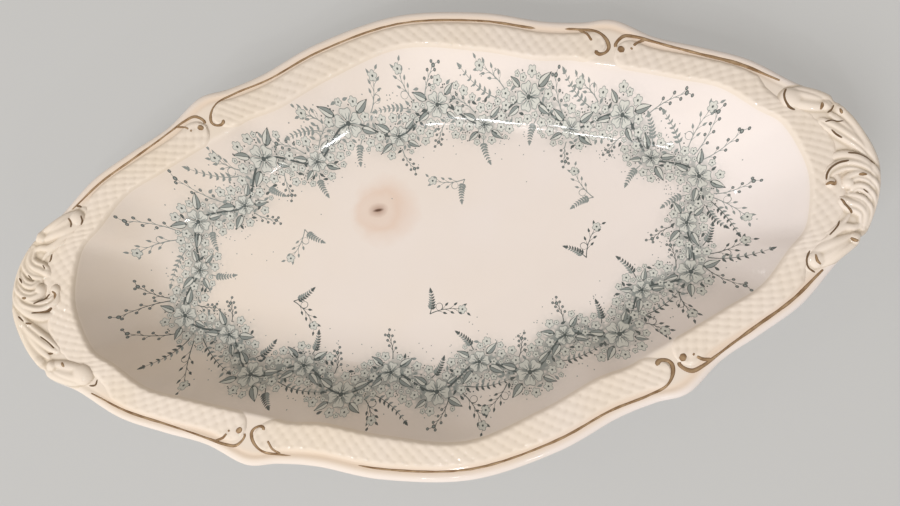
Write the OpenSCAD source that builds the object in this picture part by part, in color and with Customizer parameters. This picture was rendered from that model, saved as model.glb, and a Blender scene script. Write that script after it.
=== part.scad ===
// Oval, lobed underplate of glazed earthenware with a woven rim, relief scroll ends and gilt lines.
// Millimetres. The origin lies under the middle of the foot: X along the dish, Y across it, Z up.
// The shell is lofted from one edge spline. Relief and gilding follow the same rim surface.

/* [Edge outline] */
// Overall length from tip to tip
length = 228; // [214:1:244]
// Overall width across the middle
width = 123; // [114:1:134]
// Side swell: distance from the short axis, set-back from the full half width
swell = [22, 3.4]; // [0:0.1:60]
// Flank of the swell: distance from the short axis, set-back
flank = [38, 9.1]; // [0:0.1:60]
// Waist before the lobe: distance from the short axis, set-back
waist = [48, 11.4]; // [0:0.1:60]
// Crown of the lobe: distance from the short axis, set-back
lobe = [56.5, 12.5]; // [0:0.1:70]
// Dip behind the lobe: distance from the short axis, set-back
dip = [66, 19.1]; // [0:0.1:80]
// Shoulder: distance from the short axis, set-back
shoulder = [77, 24]; // [0:0.1:90]
// Haunch: distance in from the tip, half width there
haunch = [26, 32]; // [0:0.1:60]
// Neck before the scrolls: distance in from the tip, half width there
neck = [16, 23.8]; // [0:0.1:60]
// Corner of the scroll end: distance in from the tip, half width there
corner = [6.5, 16.8]; // [0:0.1:60]

/* [Rim] */
// Rim width at the middle of the long sides
rim_side = 9.4; // [8:0.1:11]
// Rim width along the flanks and waists
rim_flank = 10.8; // [9.6:0.1:12.5]
// Rim width at the lobes
rim_lobe = 13.2; // [12.4:0.1:14.5]
// Rim width along the shoulders
rim_shoulder = 10.6; // [9.6:0.1:12.5]
// Rim width at the necks
rim_neck = 12; // [11.2:0.1:13.5]
// Rim width at the tips
rim_end = 17.7; // [16.8:0.1:19.5]
// Thickness of the rim under the crest
rim_thick = 4; // [3:0.1:5]
// Radius of the rolled lip
lip_r = 1.8; // [1.4:0.1:2.1]
// Softening of the crest, measured on the rim side
crest_round = 1; // [0.5:0.1:1.6]

/* [Heights] */
// Height of the lip's top above the table
edge_z = 24.7; // [21:0.1:28]
// Rise of the crest over the lip
crest_rise = 0.3; // [0.1:0.1:1]
// Depth of the well below the crest
well_depth = 17; // [14:0.1:18.5]
// Height of the foot
foot_h = 4; // [3:0.1:4.4]

/* [Wall and foot] */
// Horizontal run of the wall from the crest to the floor
wall_run = 17; // [15:0.1:19]
// How hollow the wall is: 1 is straight, more is rounder at the floor
wall_curve = 1.6; // [1.3:0.05:2]
// How far the underside of the wall lies outside its top side
wall_shift = 3.5; // [2.5:0.1:4.2]
// Set-in of the foot from the floor's edge
foot_set = 1; // [0.5:0.1:2]
// Width of the foot ring
foot_w = 4; // [3:0.1:6]

/* [Relief] */
// Height of the woven panels over the rim
panel_h = 0.8; // [0.5:0.05:1.2]
// Set-in of the woven panels from the edge
panel_set = 3.8; // [3.5:0.1:4.4]
// Slip joint between relief and rim
slip = 0.12; // [0.1:0.01:0.2]
// Height of the boldest scroll; the others follow it
scroll_h = 2; // [1.4:0.1:2.4]
// Width of the boldest scroll; the others follow it
scroll_w = 4.8; // [4:0.1:5.4]

/* [Gilding] */
// Width of a gilt line
gilt_w = 0.8; // [0.5:0.05:1]
// Thickness of the gilding
gilt_t = 0.2; // [0.1:0.01:0.3]
// Film between the gilding and what it lies on
gilt_gap = 0.04; // [0.03:0.01:0.1]
// Set-in of the gilt border line from the edge
line_set = 2.8; // [2.4:0.1:3]
// How far the border line bows out towards the edge beside the lobes
line_bow = 0.9; // [0.4:0.1:1]
// How far the gilt curls reach in past the border line
curl_depth = 7.8; // [7:0.1:8.2]
// Width of the gilt bead inside a curl
bead_w = 1.8; // [1.4:0.1:2]

/* [Hidden] */
glaze = "#ece0d3";
clay = "#d9cbbb";
gold = "#a97d4d";
half_l = length / 2;
half_w = width / 2;
crest_z = edge_z + crest_rise;
floor_z = crest_z - well_depth;
// One quarter of the edge, from the middle of the long side to the tip, with the rim's width
quarter = [
    [0, half_w, rim_side],
    [swell[0], half_w - swell[1], rim_flank],
    [flank[0], half_w - flank[1], rim_flank],
    [waist[0], half_w - waist[1], rim_flank],
    [lobe[0], half_w - lobe[1], rim_lobe],
    [dip[0], half_w - dip[1], rim_shoulder],
    [shoulder[0], half_w - shoulder[1], rim_shoulder],
    [half_l - haunch[0], haunch[1], rim_shoulder],
    [half_l - neck[0], neck[1], rim_neck],
    [half_l - corner[0], corner[1], (rim_neck + rim_end) / 2],
    [half_l, 0, rim_end]
];
// Stations run round the edge from the right tip, counter-clockwise, one to each span of the quarter
spans = len(quarter) - 1;
side_mid = spans;
far_tip = 2 * spans;
loop_end = 4 * spans;
steps_per_span = 3;
// Section lines lean towards points on the long axis at this share of the edge's distance
spine_share = 0.5;
// The floor's edge is evened out over these stations, with these weights, so the lobes fade into an oval
ease_step = 0.8;
ease_weights = [1, 3, 5, 6, 5, 3, 1];
ease_count = len(ease_weights);
ease_sum = total_weight(ease_count);
// Fractions of the wall's run, from the crest, where the shell has a section ring
under_rings = [1, 0.85, 0.65, 0.45, 0.25, 0.1, 0];
wall_rings = [0.04, 0.15, 0.3, 0.45, 0.6, 0.75, 0.9, 1];
rim_rings = [0.25, 0.5, 0.75];
lip_turn = 45;
// Woven panels: stations of their ends beside the lobes, the run of the rounded end and the steps
panel_end_tip = 5.35;
panel_end_side = 6.4;
panel_round = 0.5;
panel_steps = 4;
panel_blunt = 0.008;
end_closing = 0.13;
// Section of a woven panel: place across it and share of its height, over and back under it
panel_section = [[0, 0.35], [0.12, 0.85], [0.5, 1], [0.88, 0.85], [1, 0.35], [1, 0], [0.5, 0], [0, 0]];
// Set-in of the panels where the end scrolls lie outside them: stations from the tip, set-in
scroll_band = [
    [0, 0.825 * rim_end], [0.35, 0.78 * rim_end], [0.6, 0.576 * rim_end], [1, 0.542 * rim_end],
    [1.3, 0.554 * rim_end], [1.7, 0.531 * rim_end], [2, 0.492 * rim_end], [2.3, 0.435 * rim_end],
    [2.6, panel_set]
];
// End scrolls: path as [station, set-in as a share of the rim at the tips], then width and height as
// shares of the boldest, and where along it a scroll is fullest
end_scrolls = [
    [[[1.8, 0.282], [1.55, 0.243], [1.3, 0.181], [1.08, 0.096]], 1, 0.85, 0.8],
    [[[0.87, 0.085], [0.68, 0.073], [0.45, 0.073], [0.2, 0.079], [-0.03, 0.079]], 0.56, 0.7, 0.8],
    [[[0.75, 0.316], [0.58, 0.305], [0.38, 0.243], [0.17, 0.153]], 0.6, 0.65, 0.8],
    [[[-0.14, 0.102], [0, 0.198], [0.04, 0.384], [-0.03, 0.576], [-0.2, 0.701]], 0.75, 1, 1.2],
    [[[-0.3, 0.09], [-0.3, 0.26], [-0.38, 0.39], [-0.54, 0.446]], 0.62, 0.85, 1.1],
    [[[-0.48, 0.09], [-0.53, 0.158], [-0.64, 0.232], [-0.8, 0.249]], 0.55, 0.75, 1],
    [[[-0.2, 0.073], [-0.42, 0.073], [-0.64, 0.073], [-0.93, 0.09]], 0.54, 0.65, 1],
    [[[-1.27, 0.113], [-1.5, 0.169], [-1.8, 0.22], [-2.1, 0.26]], 0.95, 0.8, 1.1],
    [[[-0.86, 0.412], [-1.02, 0.424], [-1.26, 0.469], [-1.68, 0.458]], 0.24, 0.35, 1]
];
scroll_steps = 13;
scroll_sides = 7;
blunt = 0.03;
fullness_power = 0.55;
// Gilt strokes along the backs of the end scrolls: scroll, then start and end along it
end_touches = [
    [0, 0.08, 0.4], [1, 0.1, 0.3], [2, 0.15, 0.5], [3, 0.35, 0.92], [4, 0.5, 0.9],
    [5, 0.5, 0.9], [7, 0.06, 0.2], [7, 0.75, 0.94]
];
touch_steps = 6;
// Border lines as [station, share of the bow, share of the curl's depth]: from the neck to the curl at the
// lobe, and from that side of the lobe's other curl to mid-side
line_end_path = border_line([
    [2.2, 0.89, 0], [2.6, 0.33, 0], [3.2, 0, 0], [4, 0.22, 0], [4.5, 0.67, 0], [4.9, 1, 0],
    [5.2, 0.78, 0], [5.4, 0.22, 0], [5.6, 0, 0.09], [5.7, 0, 0.282], [5.74, 0, 0.5], [5.68, 0, 0.667]
]);
line_side_path = border_line([
    [6.17, 0, 0.885], [6.16, 0, 0.987], [6.03, 0, 1], [5.9, 0, 0.872], [5.88, 0, 0.68], [6.01, 0, 0.462],
    [6.26, 0, 0.244], [6.6, 0, 0.064], [7, 0.22, 0], [7.5, 0.44, 0], [8.5, 0, 0], [side_mid, 0, 0]
]);
back_side_line = concat(
    line_side_path,
    [for (p = backwards(mirror_x(line_side_path))) if (p[0] > side_mid) p]
);
line_steps_per_point = 3;
// Gilt bead inside the curl at the end panel: station, set-in, half run along the edge in stations
bead = [5.57, line_set + 0.59 * curl_depth, 0.08];
bead_steps = 4;
bead_blunt = 0.4;
// Half of the step over which directions are measured along a path or the edge
probe = 0.02;

// Smooth curve through b and c, with a and d as the points beside them
function through(a, b, c, d, u) =
    0.5 * (2 * b + (c - a) * u + (2 * a - 5 * b + 4 * c - d) * u * u + (3 * b - a - 3 * c + d) * u * u * u);

// Point and rim width on the quarter, with its neighbours mirrored at both axes
function quarter_at(i) = let (
    j = min(floor(i), spans - 1),
    before = j > 0 ? quarter[j - 1] : [-quarter[1][0], quarter[1][1], quarter[1][2]],
    last = quarter[spans - 1],
    after = j < spans - 1 ? quarter[j + 2] : [last[0], -last[1], last[2]]
) through(before, quarter[j], quarter[j + 1], after, i - j);

// A station brought into one turn, and its place on the quarter
function wrap(q) = q - loop_end * floor(q / loop_end);
function on_quarter(s) =
    s <= side_mid ? side_mid - s : s <= far_tip ? s - side_mid :
    s <= far_tip + spans ? far_tip + spans - s : s - far_tip - spans;

// Edge point, rim width and section direction at a station
function edge(q) = let (s = wrap(q), p = quarter_at(on_quarter(s)))
    [s > side_mid && s < far_tip + spans ? -p[0] : p[0], s > far_tip ? -p[1] : p[1]];
function rim(q) = quarter_at(on_quarter(wrap(q)))[2];
function inward(q) = let (e = edge(q), v = [(spine_share - 1) * e[0], -e[1]]) v / norm(v);
function plan(q, w) = edge(q) + inward(q) * w;
function span_length(q) = norm(edge(q + probe) - edge(q - probe)) / (2 * probe);

// Height of the rim's top at a set-in from the edge: round lip, then an easy rise to the crest
function rim_top(q, w) = w < lip_r
    ? edge_z - lip_r + sqrt(max(0, lip_r * lip_r - pow(lip_r - max(w, 0), 2)))
    : edge_z + crest_rise * (1 - cos(180 * min(1, (w - lip_r) / (rim(q) - lip_r)))) / 2;
function on_rim(q, w, h) = let (p = plan(q, w)) [p[0], p[1], rim_top(q, w) + h];
function wall_fall(a) = pow(1 - a, wall_curve);

// Weighted sum of the first n points, for evening out a line
function total(points, weights, n) = n == 0
    ? [0, 0]
    : total(points, weights, n - 1) + points[n - 1] * weights[n - 1];
function total_weight(n) = n == 0 ? 0 : total_weight(n - 1) + ease_weights[n - 1];

// Floor's edge at a station, and a point of the wall at a share of its run, moved in by w
function floor_edge(q) = let (
    near = [for (k = [0:ease_count - 1])
        let (s = q + (k - (ease_count - 1) / 2) * ease_step) plan(s, rim(s) + wall_run)]
) total(near, ease_weights, ease_count) / ease_sum;
function wall_plan(q, a, w) = plan(q, rim(q)) * (1 - a) + floor_edge(q) * a + inward(q) * w;

// Shell section at a station: underside from the base outwards, lip, rim, crest and wall
function at_height(p, z) = [p[0], p[1], z];
function shell_section(q) = let (r = rim(q), under_rise = crest_z - rim_thick - foot_h) concat(
    [for (a = under_rings) at_height(wall_plan(q, a, -wall_shift), foot_h + under_rise * wall_fall(a))],
    [for (t = [-90:lip_turn:90]) at_height(plan(q, lip_r * (1 - cos(t))), edge_z - lip_r * (1 - sin(t)))],
    [for (f = rim_rings) on_rim(q, lip_r + f * (r - lip_r - crest_round), 0)],
    [on_rim(q, r - crest_round, 0)],
    [for (a = wall_rings) at_height(wall_plan(q, a, 0), floor_z + well_depth * wall_fall(a))]
);

// Side faces between rings of m points each, closed round the ring
function side_faces(rings, m) = [
    for (i = [0:rings - 2], k = [0:m - 1])
        let (next = (k + 1) % m)
            each [
                [i * m + k, (i + 1) * m + k, (i + 1) * m + next],
                [i * m + k, (i + 1) * m + next, i * m + next]
            ]
];
function cap_faces(rings, m) = [
    [for (k = [0:m - 1]) k],
    [for (k = [m - 1:-1:0]) (rings - 1) * m + k]
];

// Solid through a list of rings with equally many points
module loft(rings) {
    m = len(rings[0]);
    points = [for (ring = rings) each ring];
    polyhedron(points, concat(side_faces(len(rings), m), cap_faces(len(rings), m)), convexity = 6);
}

// Curve through a path of [station, set-in], for u from 0 to 1, and its direction in millimetres
function along(path, u) = let (
    n = len(path) - 1,
    x = min(max(u, 0), 1) * n,
    j = min(floor(x), n - 1),
    before = j > 0 ? path[j - 1] : 2 * path[0] - path[1],
    after = j < n - 1 ? path[j + 2] : 2 * path[n] - path[n - 1]
) through(before, path[j], path[j + 1], after, x - j);
function heading(path, u) = let (
    d = along(path, u + probe) - along(path, u - probe),
    mm = [d[0] * span_length(along(path, u)[0]), d[1]]
) mm / norm(mm);

// Paths in stations and millimetres: a scroll's, and a border line's
function scroll_path(path) = [for (p = path) [p[0], p[1] * rim_end]];
function border_line(path) = [for (p = path) [p[0], line_set - p[1] * line_bow + p[2] * curl_depth]];

// Point beside a path by s millimetres and h above the rim
function beside(path, u, s, h) = let (
    c = along(path, u),
    t = heading(path, u)
) on_rim(c[0] - t[1] * s / span_length(c[0]), c[1] + t[0] * s, h);

// Leaf-like scroll along a path: half an ellipse in section, full in the middle and pointed at the ends
function fullness(u, skew) = pow(sin(180 * pow(u, skew)), fullness_power);
module scroll(path, w, h, skew) {
    loft([
        for (i = [0:scroll_steps])
            let (u = blunt + (1 - 2 * blunt) * i / scroll_steps, full = fullness(u, skew))
                [for (k = [0:scroll_sides - 1])
                    let (turn = 180 * k / (scroll_sides - 1))
                        beside(path, u, w * full * cos(turn) / 2, slip + h * full * sin(turn))]
    ]);
}

// Flat stroke of gilding along part of a path, lift(u) above the rim
module stroke(path, from, to, steps, lift) {
    loft([
        for (i = [0:steps])
            let (u = from + (to - from) * i / steps, base = lift(u) + gilt_gap)
                [
                    beside(path, u, gilt_w / 2, base), beside(path, u, gilt_w / 2, base + gilt_t),
                    beside(path, u, -gilt_w / 2, base + gilt_t), beside(path, u, -gilt_w / 2, base)
                ]
    ]);
}

module dish_body() {
    n = loop_end * steps_per_span;
    sections = [for (k = [0:n - 1]) shell_section(k / steps_per_span)];
    color(glaze) loft([for (i = [0:len(sections[0]) - 1]) [for (k = [0:n - 1]) sections[k][i]]]);
}

// Plan of a line that runs a fixed distance inside the floor's edge
function floor_line(set) = [
    for (k = [0:loop_end * steps_per_span - 1])
        wall_plan(k / steps_per_span, 1, set)
];

module foot_ring() {
    color(clay) linear_extrude(foot_h) difference() {
        polygon(floor_line(foot_set));
        polygon(floor_line(foot_set + foot_w));
    }
}

// Woven panel from one station to another: a low cushion with rounded ends between border and crest
function tip_distance(q) = let (s = wrap(q)) min(s, loop_end - s, abs(s - far_tip));
function panel_outer(q) = max(panel_set, lookup(tip_distance(q), scroll_band));
// Runs from 0 to 1 in steps that close up at both ends, stopping just short of them
function closing_up(t) = let (u = panel_blunt + (1 - 2 * panel_blunt) * t) u - end_closing * sin(360 * u);
module weave_panel(from, to) {
    steps = round((to - from) * panel_steps);
    color(glaze) loft([
        for (i = [0:steps])
            let (
                q = from + (to - from) * closing_up(i / steps),
                near = min(1, min(q - from, to - q) / panel_round),
                narrow = sqrt(1 - pow(1 - near, 2)),
                outer = panel_outer(q),
                inner = rim(q) - crest_round,
                middle = (outer + inner) / 2
            )
                [for (s = panel_section)
                    on_rim(q, middle + (s[0] - 0.5) * (inner - outer) * narrow, slip + panel_h * s[1])]
    ]);
}
module weave_panel_back() weave_panel(panel_end_side, far_tip - panel_end_side);
module weave_panel_front() weave_panel(far_tip + panel_end_side, loop_end - panel_end_side);
module weave_panel_right_end() weave_panel(-panel_end_tip, panel_end_tip);
module weave_panel_left_end() weave_panel(far_tip - panel_end_tip, far_tip + panel_end_tip);

module right_end_scrolls() {
    color(glaze) for (s = end_scrolls) scroll(scroll_path(s[0]), scroll_w * s[1], scroll_h * s[2], s[3]);
}
module left_end_scrolls() rotate(180) right_end_scrolls();

// A path seen in the mirror of the short axis, and a path from its other end
function mirror_x(path) = [for (p = path) [far_tip - p[0], p[1]]];
function backwards(path) = [for (i = [len(path) - 1:-1:0]) path[i]];

module gilt_line(path) {
    color(gold) stroke(path, 0, 1, (len(path) - 1) * line_steps_per_point, function(u) 0);
}
module gilt_bead(q, half_run) {
    path = [[q - half_run, bead[1]], [q + half_run, bead[1]]];
    color(gold) loft([
        for (i = [0:bead_steps])
            let (u = i / bead_steps, full = bead_blunt + (1 - bead_blunt) * sin(180 * u))
                [for (side = [1, -1], top = side > 0 ? [0, 1] : [1, 0])
                    beside(path, u, side * bead_w * full / 2, gilt_gap + gilt_t * top)]
    ]);
}

module gilt_line_back_middle() gilt_line(back_side_line);
module gilt_line_front_middle() rotate(180) gilt_line(back_side_line);
module gilt_line_back_right() {
    gilt_line(line_end_path);
    gilt_bead(bead[0], bead[2]);
}
module gilt_line_front_left() rotate(180) gilt_line_back_right();
module gilt_line_back_left() {
    gilt_line(backwards(mirror_x(line_end_path)));
    gilt_bead(far_tip - bead[0], bead[2]);
}
module gilt_line_front_right() rotate(180) gilt_line_back_left();

module gilt_touches_right_end() {
    color(gold) for (t = end_touches) {
        s = end_scrolls[t[0]];
        path = scroll_path(s[0]);
        stroke(path, t[1], t[2], touch_steps, function(u) slip + scroll_h * s[2] * fullness(u, s[3]));
    }
}
module gilt_touches_left_end() rotate(180) gilt_touches_right_end();

dish_body();
foot_ring();
weave_panel_back();
weave_panel_front();
weave_panel_right_end();
weave_panel_left_end();
right_end_scrolls();
left_end_scrolls();
gilt_line_back_middle();
gilt_line_back_right();
gilt_line_back_left();
gilt_line_front_middle();
gilt_line_front_right();
gilt_line_front_left();
gilt_touches_right_end();
gilt_touches_left_end();
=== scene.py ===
"""Dresses the gravy boat underplate: glazed shell, woven rim, moulded scroll ends, printed wreath, gilding.

Shapes are worked out in millimetres in the part's own frame, +X along the dish and +Z up, and become
metres when a mesh is made. Stations q run round the edge, 40 to a turn, counter-clockwise from the right
tip, and set-ins w run from the edge towards the well.
"""

import math
import random

import bpy
import numpy as np
from bpy.props import FloatProperty, FloatVectorProperty, IntProperty, PointerProperty
from bpy.types import Operator, Panel, PropertyGroup
from mathutils import Matrix, Vector
from mathutils.bvhtree import BVHTree


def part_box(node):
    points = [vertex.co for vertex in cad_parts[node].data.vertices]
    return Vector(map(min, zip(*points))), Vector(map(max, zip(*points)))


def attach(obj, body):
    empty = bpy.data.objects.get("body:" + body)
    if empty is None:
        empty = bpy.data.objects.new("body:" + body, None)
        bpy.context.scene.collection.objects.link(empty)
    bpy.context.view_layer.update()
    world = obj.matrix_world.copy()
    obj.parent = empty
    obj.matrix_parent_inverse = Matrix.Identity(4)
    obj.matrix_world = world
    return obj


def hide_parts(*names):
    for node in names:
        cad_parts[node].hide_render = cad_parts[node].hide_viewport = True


bl_info = {
    "name": "Gravy boat underplate",
    "version": (1, 0, 0),
    "blender": (4, 5, 0),
    "location": "View3D > Sidebar > Underplate",
    "description": "Glazed earthenware underplate with a woven rim, scroll ends, printed wreath and gilding",
    "category": "Object",
}

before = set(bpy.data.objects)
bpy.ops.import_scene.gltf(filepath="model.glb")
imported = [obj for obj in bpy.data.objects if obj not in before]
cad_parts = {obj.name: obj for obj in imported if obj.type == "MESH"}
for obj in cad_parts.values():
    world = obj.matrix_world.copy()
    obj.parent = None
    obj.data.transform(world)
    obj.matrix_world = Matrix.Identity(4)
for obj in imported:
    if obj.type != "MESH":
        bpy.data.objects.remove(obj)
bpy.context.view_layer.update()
BODY_LOW, BODY_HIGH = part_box("dish_body")
FOOT_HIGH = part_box("foot_ring")[1]
MM = 0.001

# Stations in a quarter of the edge and in a whole turn
SPANS = 10
LOOP = 4 * SPANS
# One quarter of the edge. Along the side: distance from the short axis, set-back from the half width,
# rim width. At the end: distance in from the tip, half width there, rim width.
SIDE_POINTS = (
    (0, 0, 9.4), (22, 3.4, 10.8), (38, 9.1, 10.8), (48, 11.4, 10.8),
    (56.5, 12.5, 13.2), (66, 19.1, 10.6), (77, 24, 10.6),
)
END_POINTS = ((26, 32, 10.6), (16, 23.8, 12), (6.5, 16.8, 14.85), (0, 0, 17.7))
# Section lines lean towards points on the long axis at this share of the edge's distance
SPINE_SHARE = 0.5
# The floor's edge is evened out over stations this far apart, with these weights
EASE_STEP = 0.8
EASE_WEIGHTS = (1, 3, 5, 6, 5, 3, 1)
# Notches in the edge at each end: station from the tip and half run in stations; set-in where they fade
NOTCHES = ((1.04, 0.085), (-1.2, 0.11))
NOTCH_FADE = 3.0
# Shallow groove along the lip under the gilt border: depth, set-in, half width
GROOVE_DEPTH, GROOVE_SET, GROOVE_HALF = 0.16, 3.0, 0.55
# Waves left in the clay: millimetres to a radian, phases, and for the quick ones slants and share
SLOW_RUNS, SLOW_PHASES = (17, 13), (1.3, 0.4)
QUICK_RUNS, QUICK_PHASE, QUICK_SLANTS, QUICK_SHARE = (9, 7), 0.7, (1.7, 0.6), 0.5
# Set-in along which stations are spaced, and the steps in which two turns of it are measured
RIM_MIDDLE, RUN_STEPS = 6.0, 3200
# Sections of the shell to a station, round the ends and along the sides, and stations that an end takes up
CLOSE_SECTIONS, WIDE_SECTIONS, END_REACH = 28, 14, 2.6
# Rings on each surface of the shell, how the wall's crowd towards the crest, sections of the foot
BASE_RINGS, UNDER_RINGS, LIP_RINGS = 6, 14, 15
RIM_RINGS, WALL_RINGS, FLOOR_RINGS, WALL_CROWDING = 30, 44, 20, 1.25
FOOT_SECTIONS = 400
# A distance that counts as far away, and the height over the dish from which surfaces are sought
FAR, SEEK_FROM = 99.0, 50 * MM

# Woven panels: piece, solid, stations of their two ends, run of the rounded ends in stations
SIDE_END, TIP_END = 5.95, 5.7
PANELS = (
    ("woven_panel_back", "weave_panel_back", SIDE_END, 2 * SPANS - SIDE_END, 0.75),
    ("woven_panel_front", "weave_panel_front", 2 * SPANS + SIDE_END, LOOP - SIDE_END, 0.75),
    ("woven_panel_right", "weave_panel_right_end", -TIP_END, TIP_END, 0.45),
    ("woven_panel_left", "weave_panel_left_end", 2 * SPANS - TIP_END, 2 * SPANS + TIP_END, 0.45),
)
# Height of the weave's strands as shares: mean, swing over and under, roundness, and how far they blend
WEAVE_MEAN, WEAVE_SWING, WEAVE_ROUND, WEAVE_BLEND = 0.62, 0.3, 0.55, 0.6
# Run over which the weave comes up at a panel's border, and the height under which its low places are
# darkened, part pooled glaze and part painted shade
WEAVE_FADE, POOL_AND_SHADE_BELOW = 1.1, 0.55
# How far a panel runs past the crest, how far its grid runs past its border, and past its ends in stations
CREST_PAST, PANEL_MARGIN, PANEL_PAST = 0.4, 0.4, 0.1
# Relief's grid: step along the rim, rows across a panel and across the scrolls, thickness of both
RELIEF_STEP, PANEL_ROWS, SCROLL_ROWS = 0.24, 48, 70
PANEL_DROP, SCROLL_DROP = 0.7, 0.5
# How far relief dips under the rim where it ends, how far outside a panel the dip is full, and its run
BURIED, DIP_FULL, DIP_RUN = 0.07, 0.3, 0.5
# Set-in of the weave from the edge under and beside the end scrolls, by stations from the tip
BAND_STATIONS = (0, 0.4, 0.7, 1, 1.3, 1.7, 2, 2.3, 2.6)
BAND_SETS = (11.5, 8.5, 7.5, 7.5, 7.5, 7.0, 6.5, 5.5, 3.5)

# End scrolls: piece, solid, turn of the right end's shape
SCROLL_ENDS = (
    ("moulded_scrolls_right", "right_end_scrolls", 1),
    ("moulded_scrolls_left", "left_end_scrolls", -1),
)
# Their field: stations to each side of the tip, greatest set-in, distance kept from the crest
SCROLL_STATIONS, SCROLL_REACH, CREST_CLEAR = 2.7, 15.5, 1.0
# Run over which they come up from the edge, and height under which they dip into the rim
EDGE_RUN, SCROLL_LEAST = 0.6, 0.12
# Darkening in their corners, part pooled glaze and part painted shade: passes that even out the ground, and
# gain
POOL_AND_SHADE_PASSES, POOL_AND_SHADE_GAIN = 24, 6
# Ridges: steps to a span, share of the length kept off each end, share of the width left at the ends
RIDGE_STEPS, RIDGE_ENDS, RIDGE_THIN = 10, 0.02, 0.3
# Place and half width of a ridge's channel, in half widths of the ridge
CHANNEL_PLACE, CHANNEL_HALF = -0.2, 0.28
# Swell of the ground under the scrolls of the right end: path, half width and height in millimetres
SWELL = ((97.0, 17.6), (103.2, 12.4), (107.6, 5.0), (108.2, -3.4), (105.0, -11.4), (98.0, -17.8)), 6.6, 0.5
# Moulded ridges of the right end: path, half width, height as a share of the boldest, where they are
# fullest, depth of the channel along them as a share of their height
SCROLLS = (
    (((94.3, 19.8), (98.2, 19.0), (102.2, 17.6), (106.4, 16.2)), 3.2, 0.95, 0.85, 0.3),
    (((105.9, 15.6), (108.2, 12.0), (109.7, 8.6), (111.2, 4.6), (112.8, -0.4)), 1.6, 0.62, 0.62, 0),
    (((104.4, 13.4), (106.8, 10.4), (109.0, 7.2), (111.4, 2.8)), 1.2, 0.6, 0.8, 0),
    (((101.9, 11.9), (104.5, 9.5), (107.1, 6.9), (109.7, 4.0), (111.9, 0.4)), 1.9, 0.78, 0.7, 0.35),
    (
        ((101.4, 2.4), (103.8, 2.8), (106.3, 2.2), (108.9, 0.6), (111.2, -1.8), (112.7, -4.6)),
        1.35, 0.72, 0.95, 0,
    ),
    (
        (
            (100.4, -3.6), (100.4, -1.8), (101.8, -0.5), (104.6, 0.1), (107.5, -0.7), (109.9, -2.4),
            (111.6, -5.4),
        ),
        1.75, 1.0, 0.95, 0.42,
    ),
    (
        ((103.2, -5.0), (104.8, -3.6), (107.0, -3.1), (109.2, -4.1), (110.8, -6.2), (111.2, -8.8)),
        1.6, 0.95, 0.8, 0.3,
    ),
    (((104.4, -6.8), (106.3, -5.9), (108.2, -6.8), (109.5, -8.9), (109.6, -11.4)), 1.4, 0.85, 0.85, 0.3),
    (((103.4, -7.6), (105.6, -8.4), (107.3, -9.9), (108.2, -12.2), (107.2, -15.0)), 1.3, 0.78, 0.85, 0.25),
    (((101.4, -7.8), (103.3, -9.8), (105.2, -11.0), (106.4, -12.9), (105.6, -16.0)), 1.8, 0.85, 0.75, 0.35),
    (((112.9, -3.4), (112.0, -8.0), (110.0, -11.9), (107.0, -15.8)), 1.25, 0.6, 1.0, 0),
    (
        ((105.6, -15.2), (103.6, -15.6), (101.2, -15.1), (98.9, -15.9), (96.6, -17.4), (93.6, -18.4)),
        1.0, 0.5, 0.9, 0,
    ),
    (((103.2, -12.2), (101.5, -13.8), (99.2, -15.0), (96.4, -16.2)), 0.6, 0.38, 1.0, 0),
    (((104.6, -18.3), (100.4, -19.6), (96.9, -20.5), (93.8, -21.5), (91.2, -23.2)), 3.0, 0.92, 1.0, 0.3),
)
# Rolled knobs at the scrolls' ends: place, radius and height as a share of the boldest scroll
KNOBS = (
    ((95.6, 19.5), 2.8, 1.0), ((103.6, 16.0), 1.5, 0.95), ((107.0, 14.0), 1.4, 0.72),
    ((100.4, -3.8), 1.5, 1.0), ((104.4, -4.5), 1.5, 0.95), ((102.2, -8.6), 1.1, 0.75),
    ((92.8, -21.9), 2.2, 0.98), ((103.2, -18.5), 1.7, 0.92),
)

# Gilt border lines as station, set-in and width: from the neck to the curl at the lobe, and curl to mid-side
LINE_END = (
    (2.2, 2.0, 0.4), (2.6, 2.5, 0.6), (3.2, 2.8, 0.78), (4, 2.6, 0.7), (4.5, 2.2, 0.55), (4.9, 1.9, 0.65),
    (5.2, 2.1, 0.8), (5.4, 2.6, 0.95), (5.6, 3.5, 0.95), (5.7, 5.0, 0.95), (5.74, 6.7, 0.9), (5.7, 7.6, 0.9),
)
LINE_SIDE = (
    (6.2, 9.5, 0.8), (6.17, 10.4, 1.1), (6.03, 10.6, 0.8), (5.9, 9.6, 0.9), (5.88, 8.1, 1.1),
    (6.01, 6.4, 1.05), (6.26, 4.7, 0.85), (6.6, 3.3, 0.7), (7, 2.6, 0.6), (7.5, 2.4, 0.55), (8.5, 2.8, 0.6),
    (10, 2.8, 0.55),
)
# Gaps worn in the two middle lines, as shares of their length
GAPS_BACK, GAPS_FRONT = ((0.14, 0.22),), ((0.12, 0.3),)
# The gilder's brush ran fuller towards the right: share of the widths at the middle, gain per millimetre
BRUSH_MIDDLE, BRUSH_GAIN = 0.86, 0.0022
# Sway of the brush, slow and quick: share of the width and millimetres to a radian
SLOW_SWAY, QUICK_SWAY = (0.12, 3.1), (0.08, 0.9)
# Blush beside the border: set-in and spread, stations from the tip where it starts, run in stations
BLUSH_SET, BLUSH_SPREAD, BLUSH_START, BLUSH_RUN = 2.8, 1.1, 2.1, 0.5
# Start of the random draws of the brush's sway, and steps to a span of a stroke's path
BRUSH_SEED, STROKE_STEPS = 5, 8
# Grid of a stroke: steps along short and long ones, points that make it long, points across
STROKE_STEP, LONG_STEP, LONG_POINTS, STROKE_ACROSS = 0.12, 0.25, 40, 5
# A stroke's lift off the ground and depth below; half widths: added to all, least, and full-bodied
GILT_LIFT, GILT_DROP = 0.02, 0.1
GILT_ADDED, GILT_LEAST, GILT_FULL = 0.02, 0.04, 0.2
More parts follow.
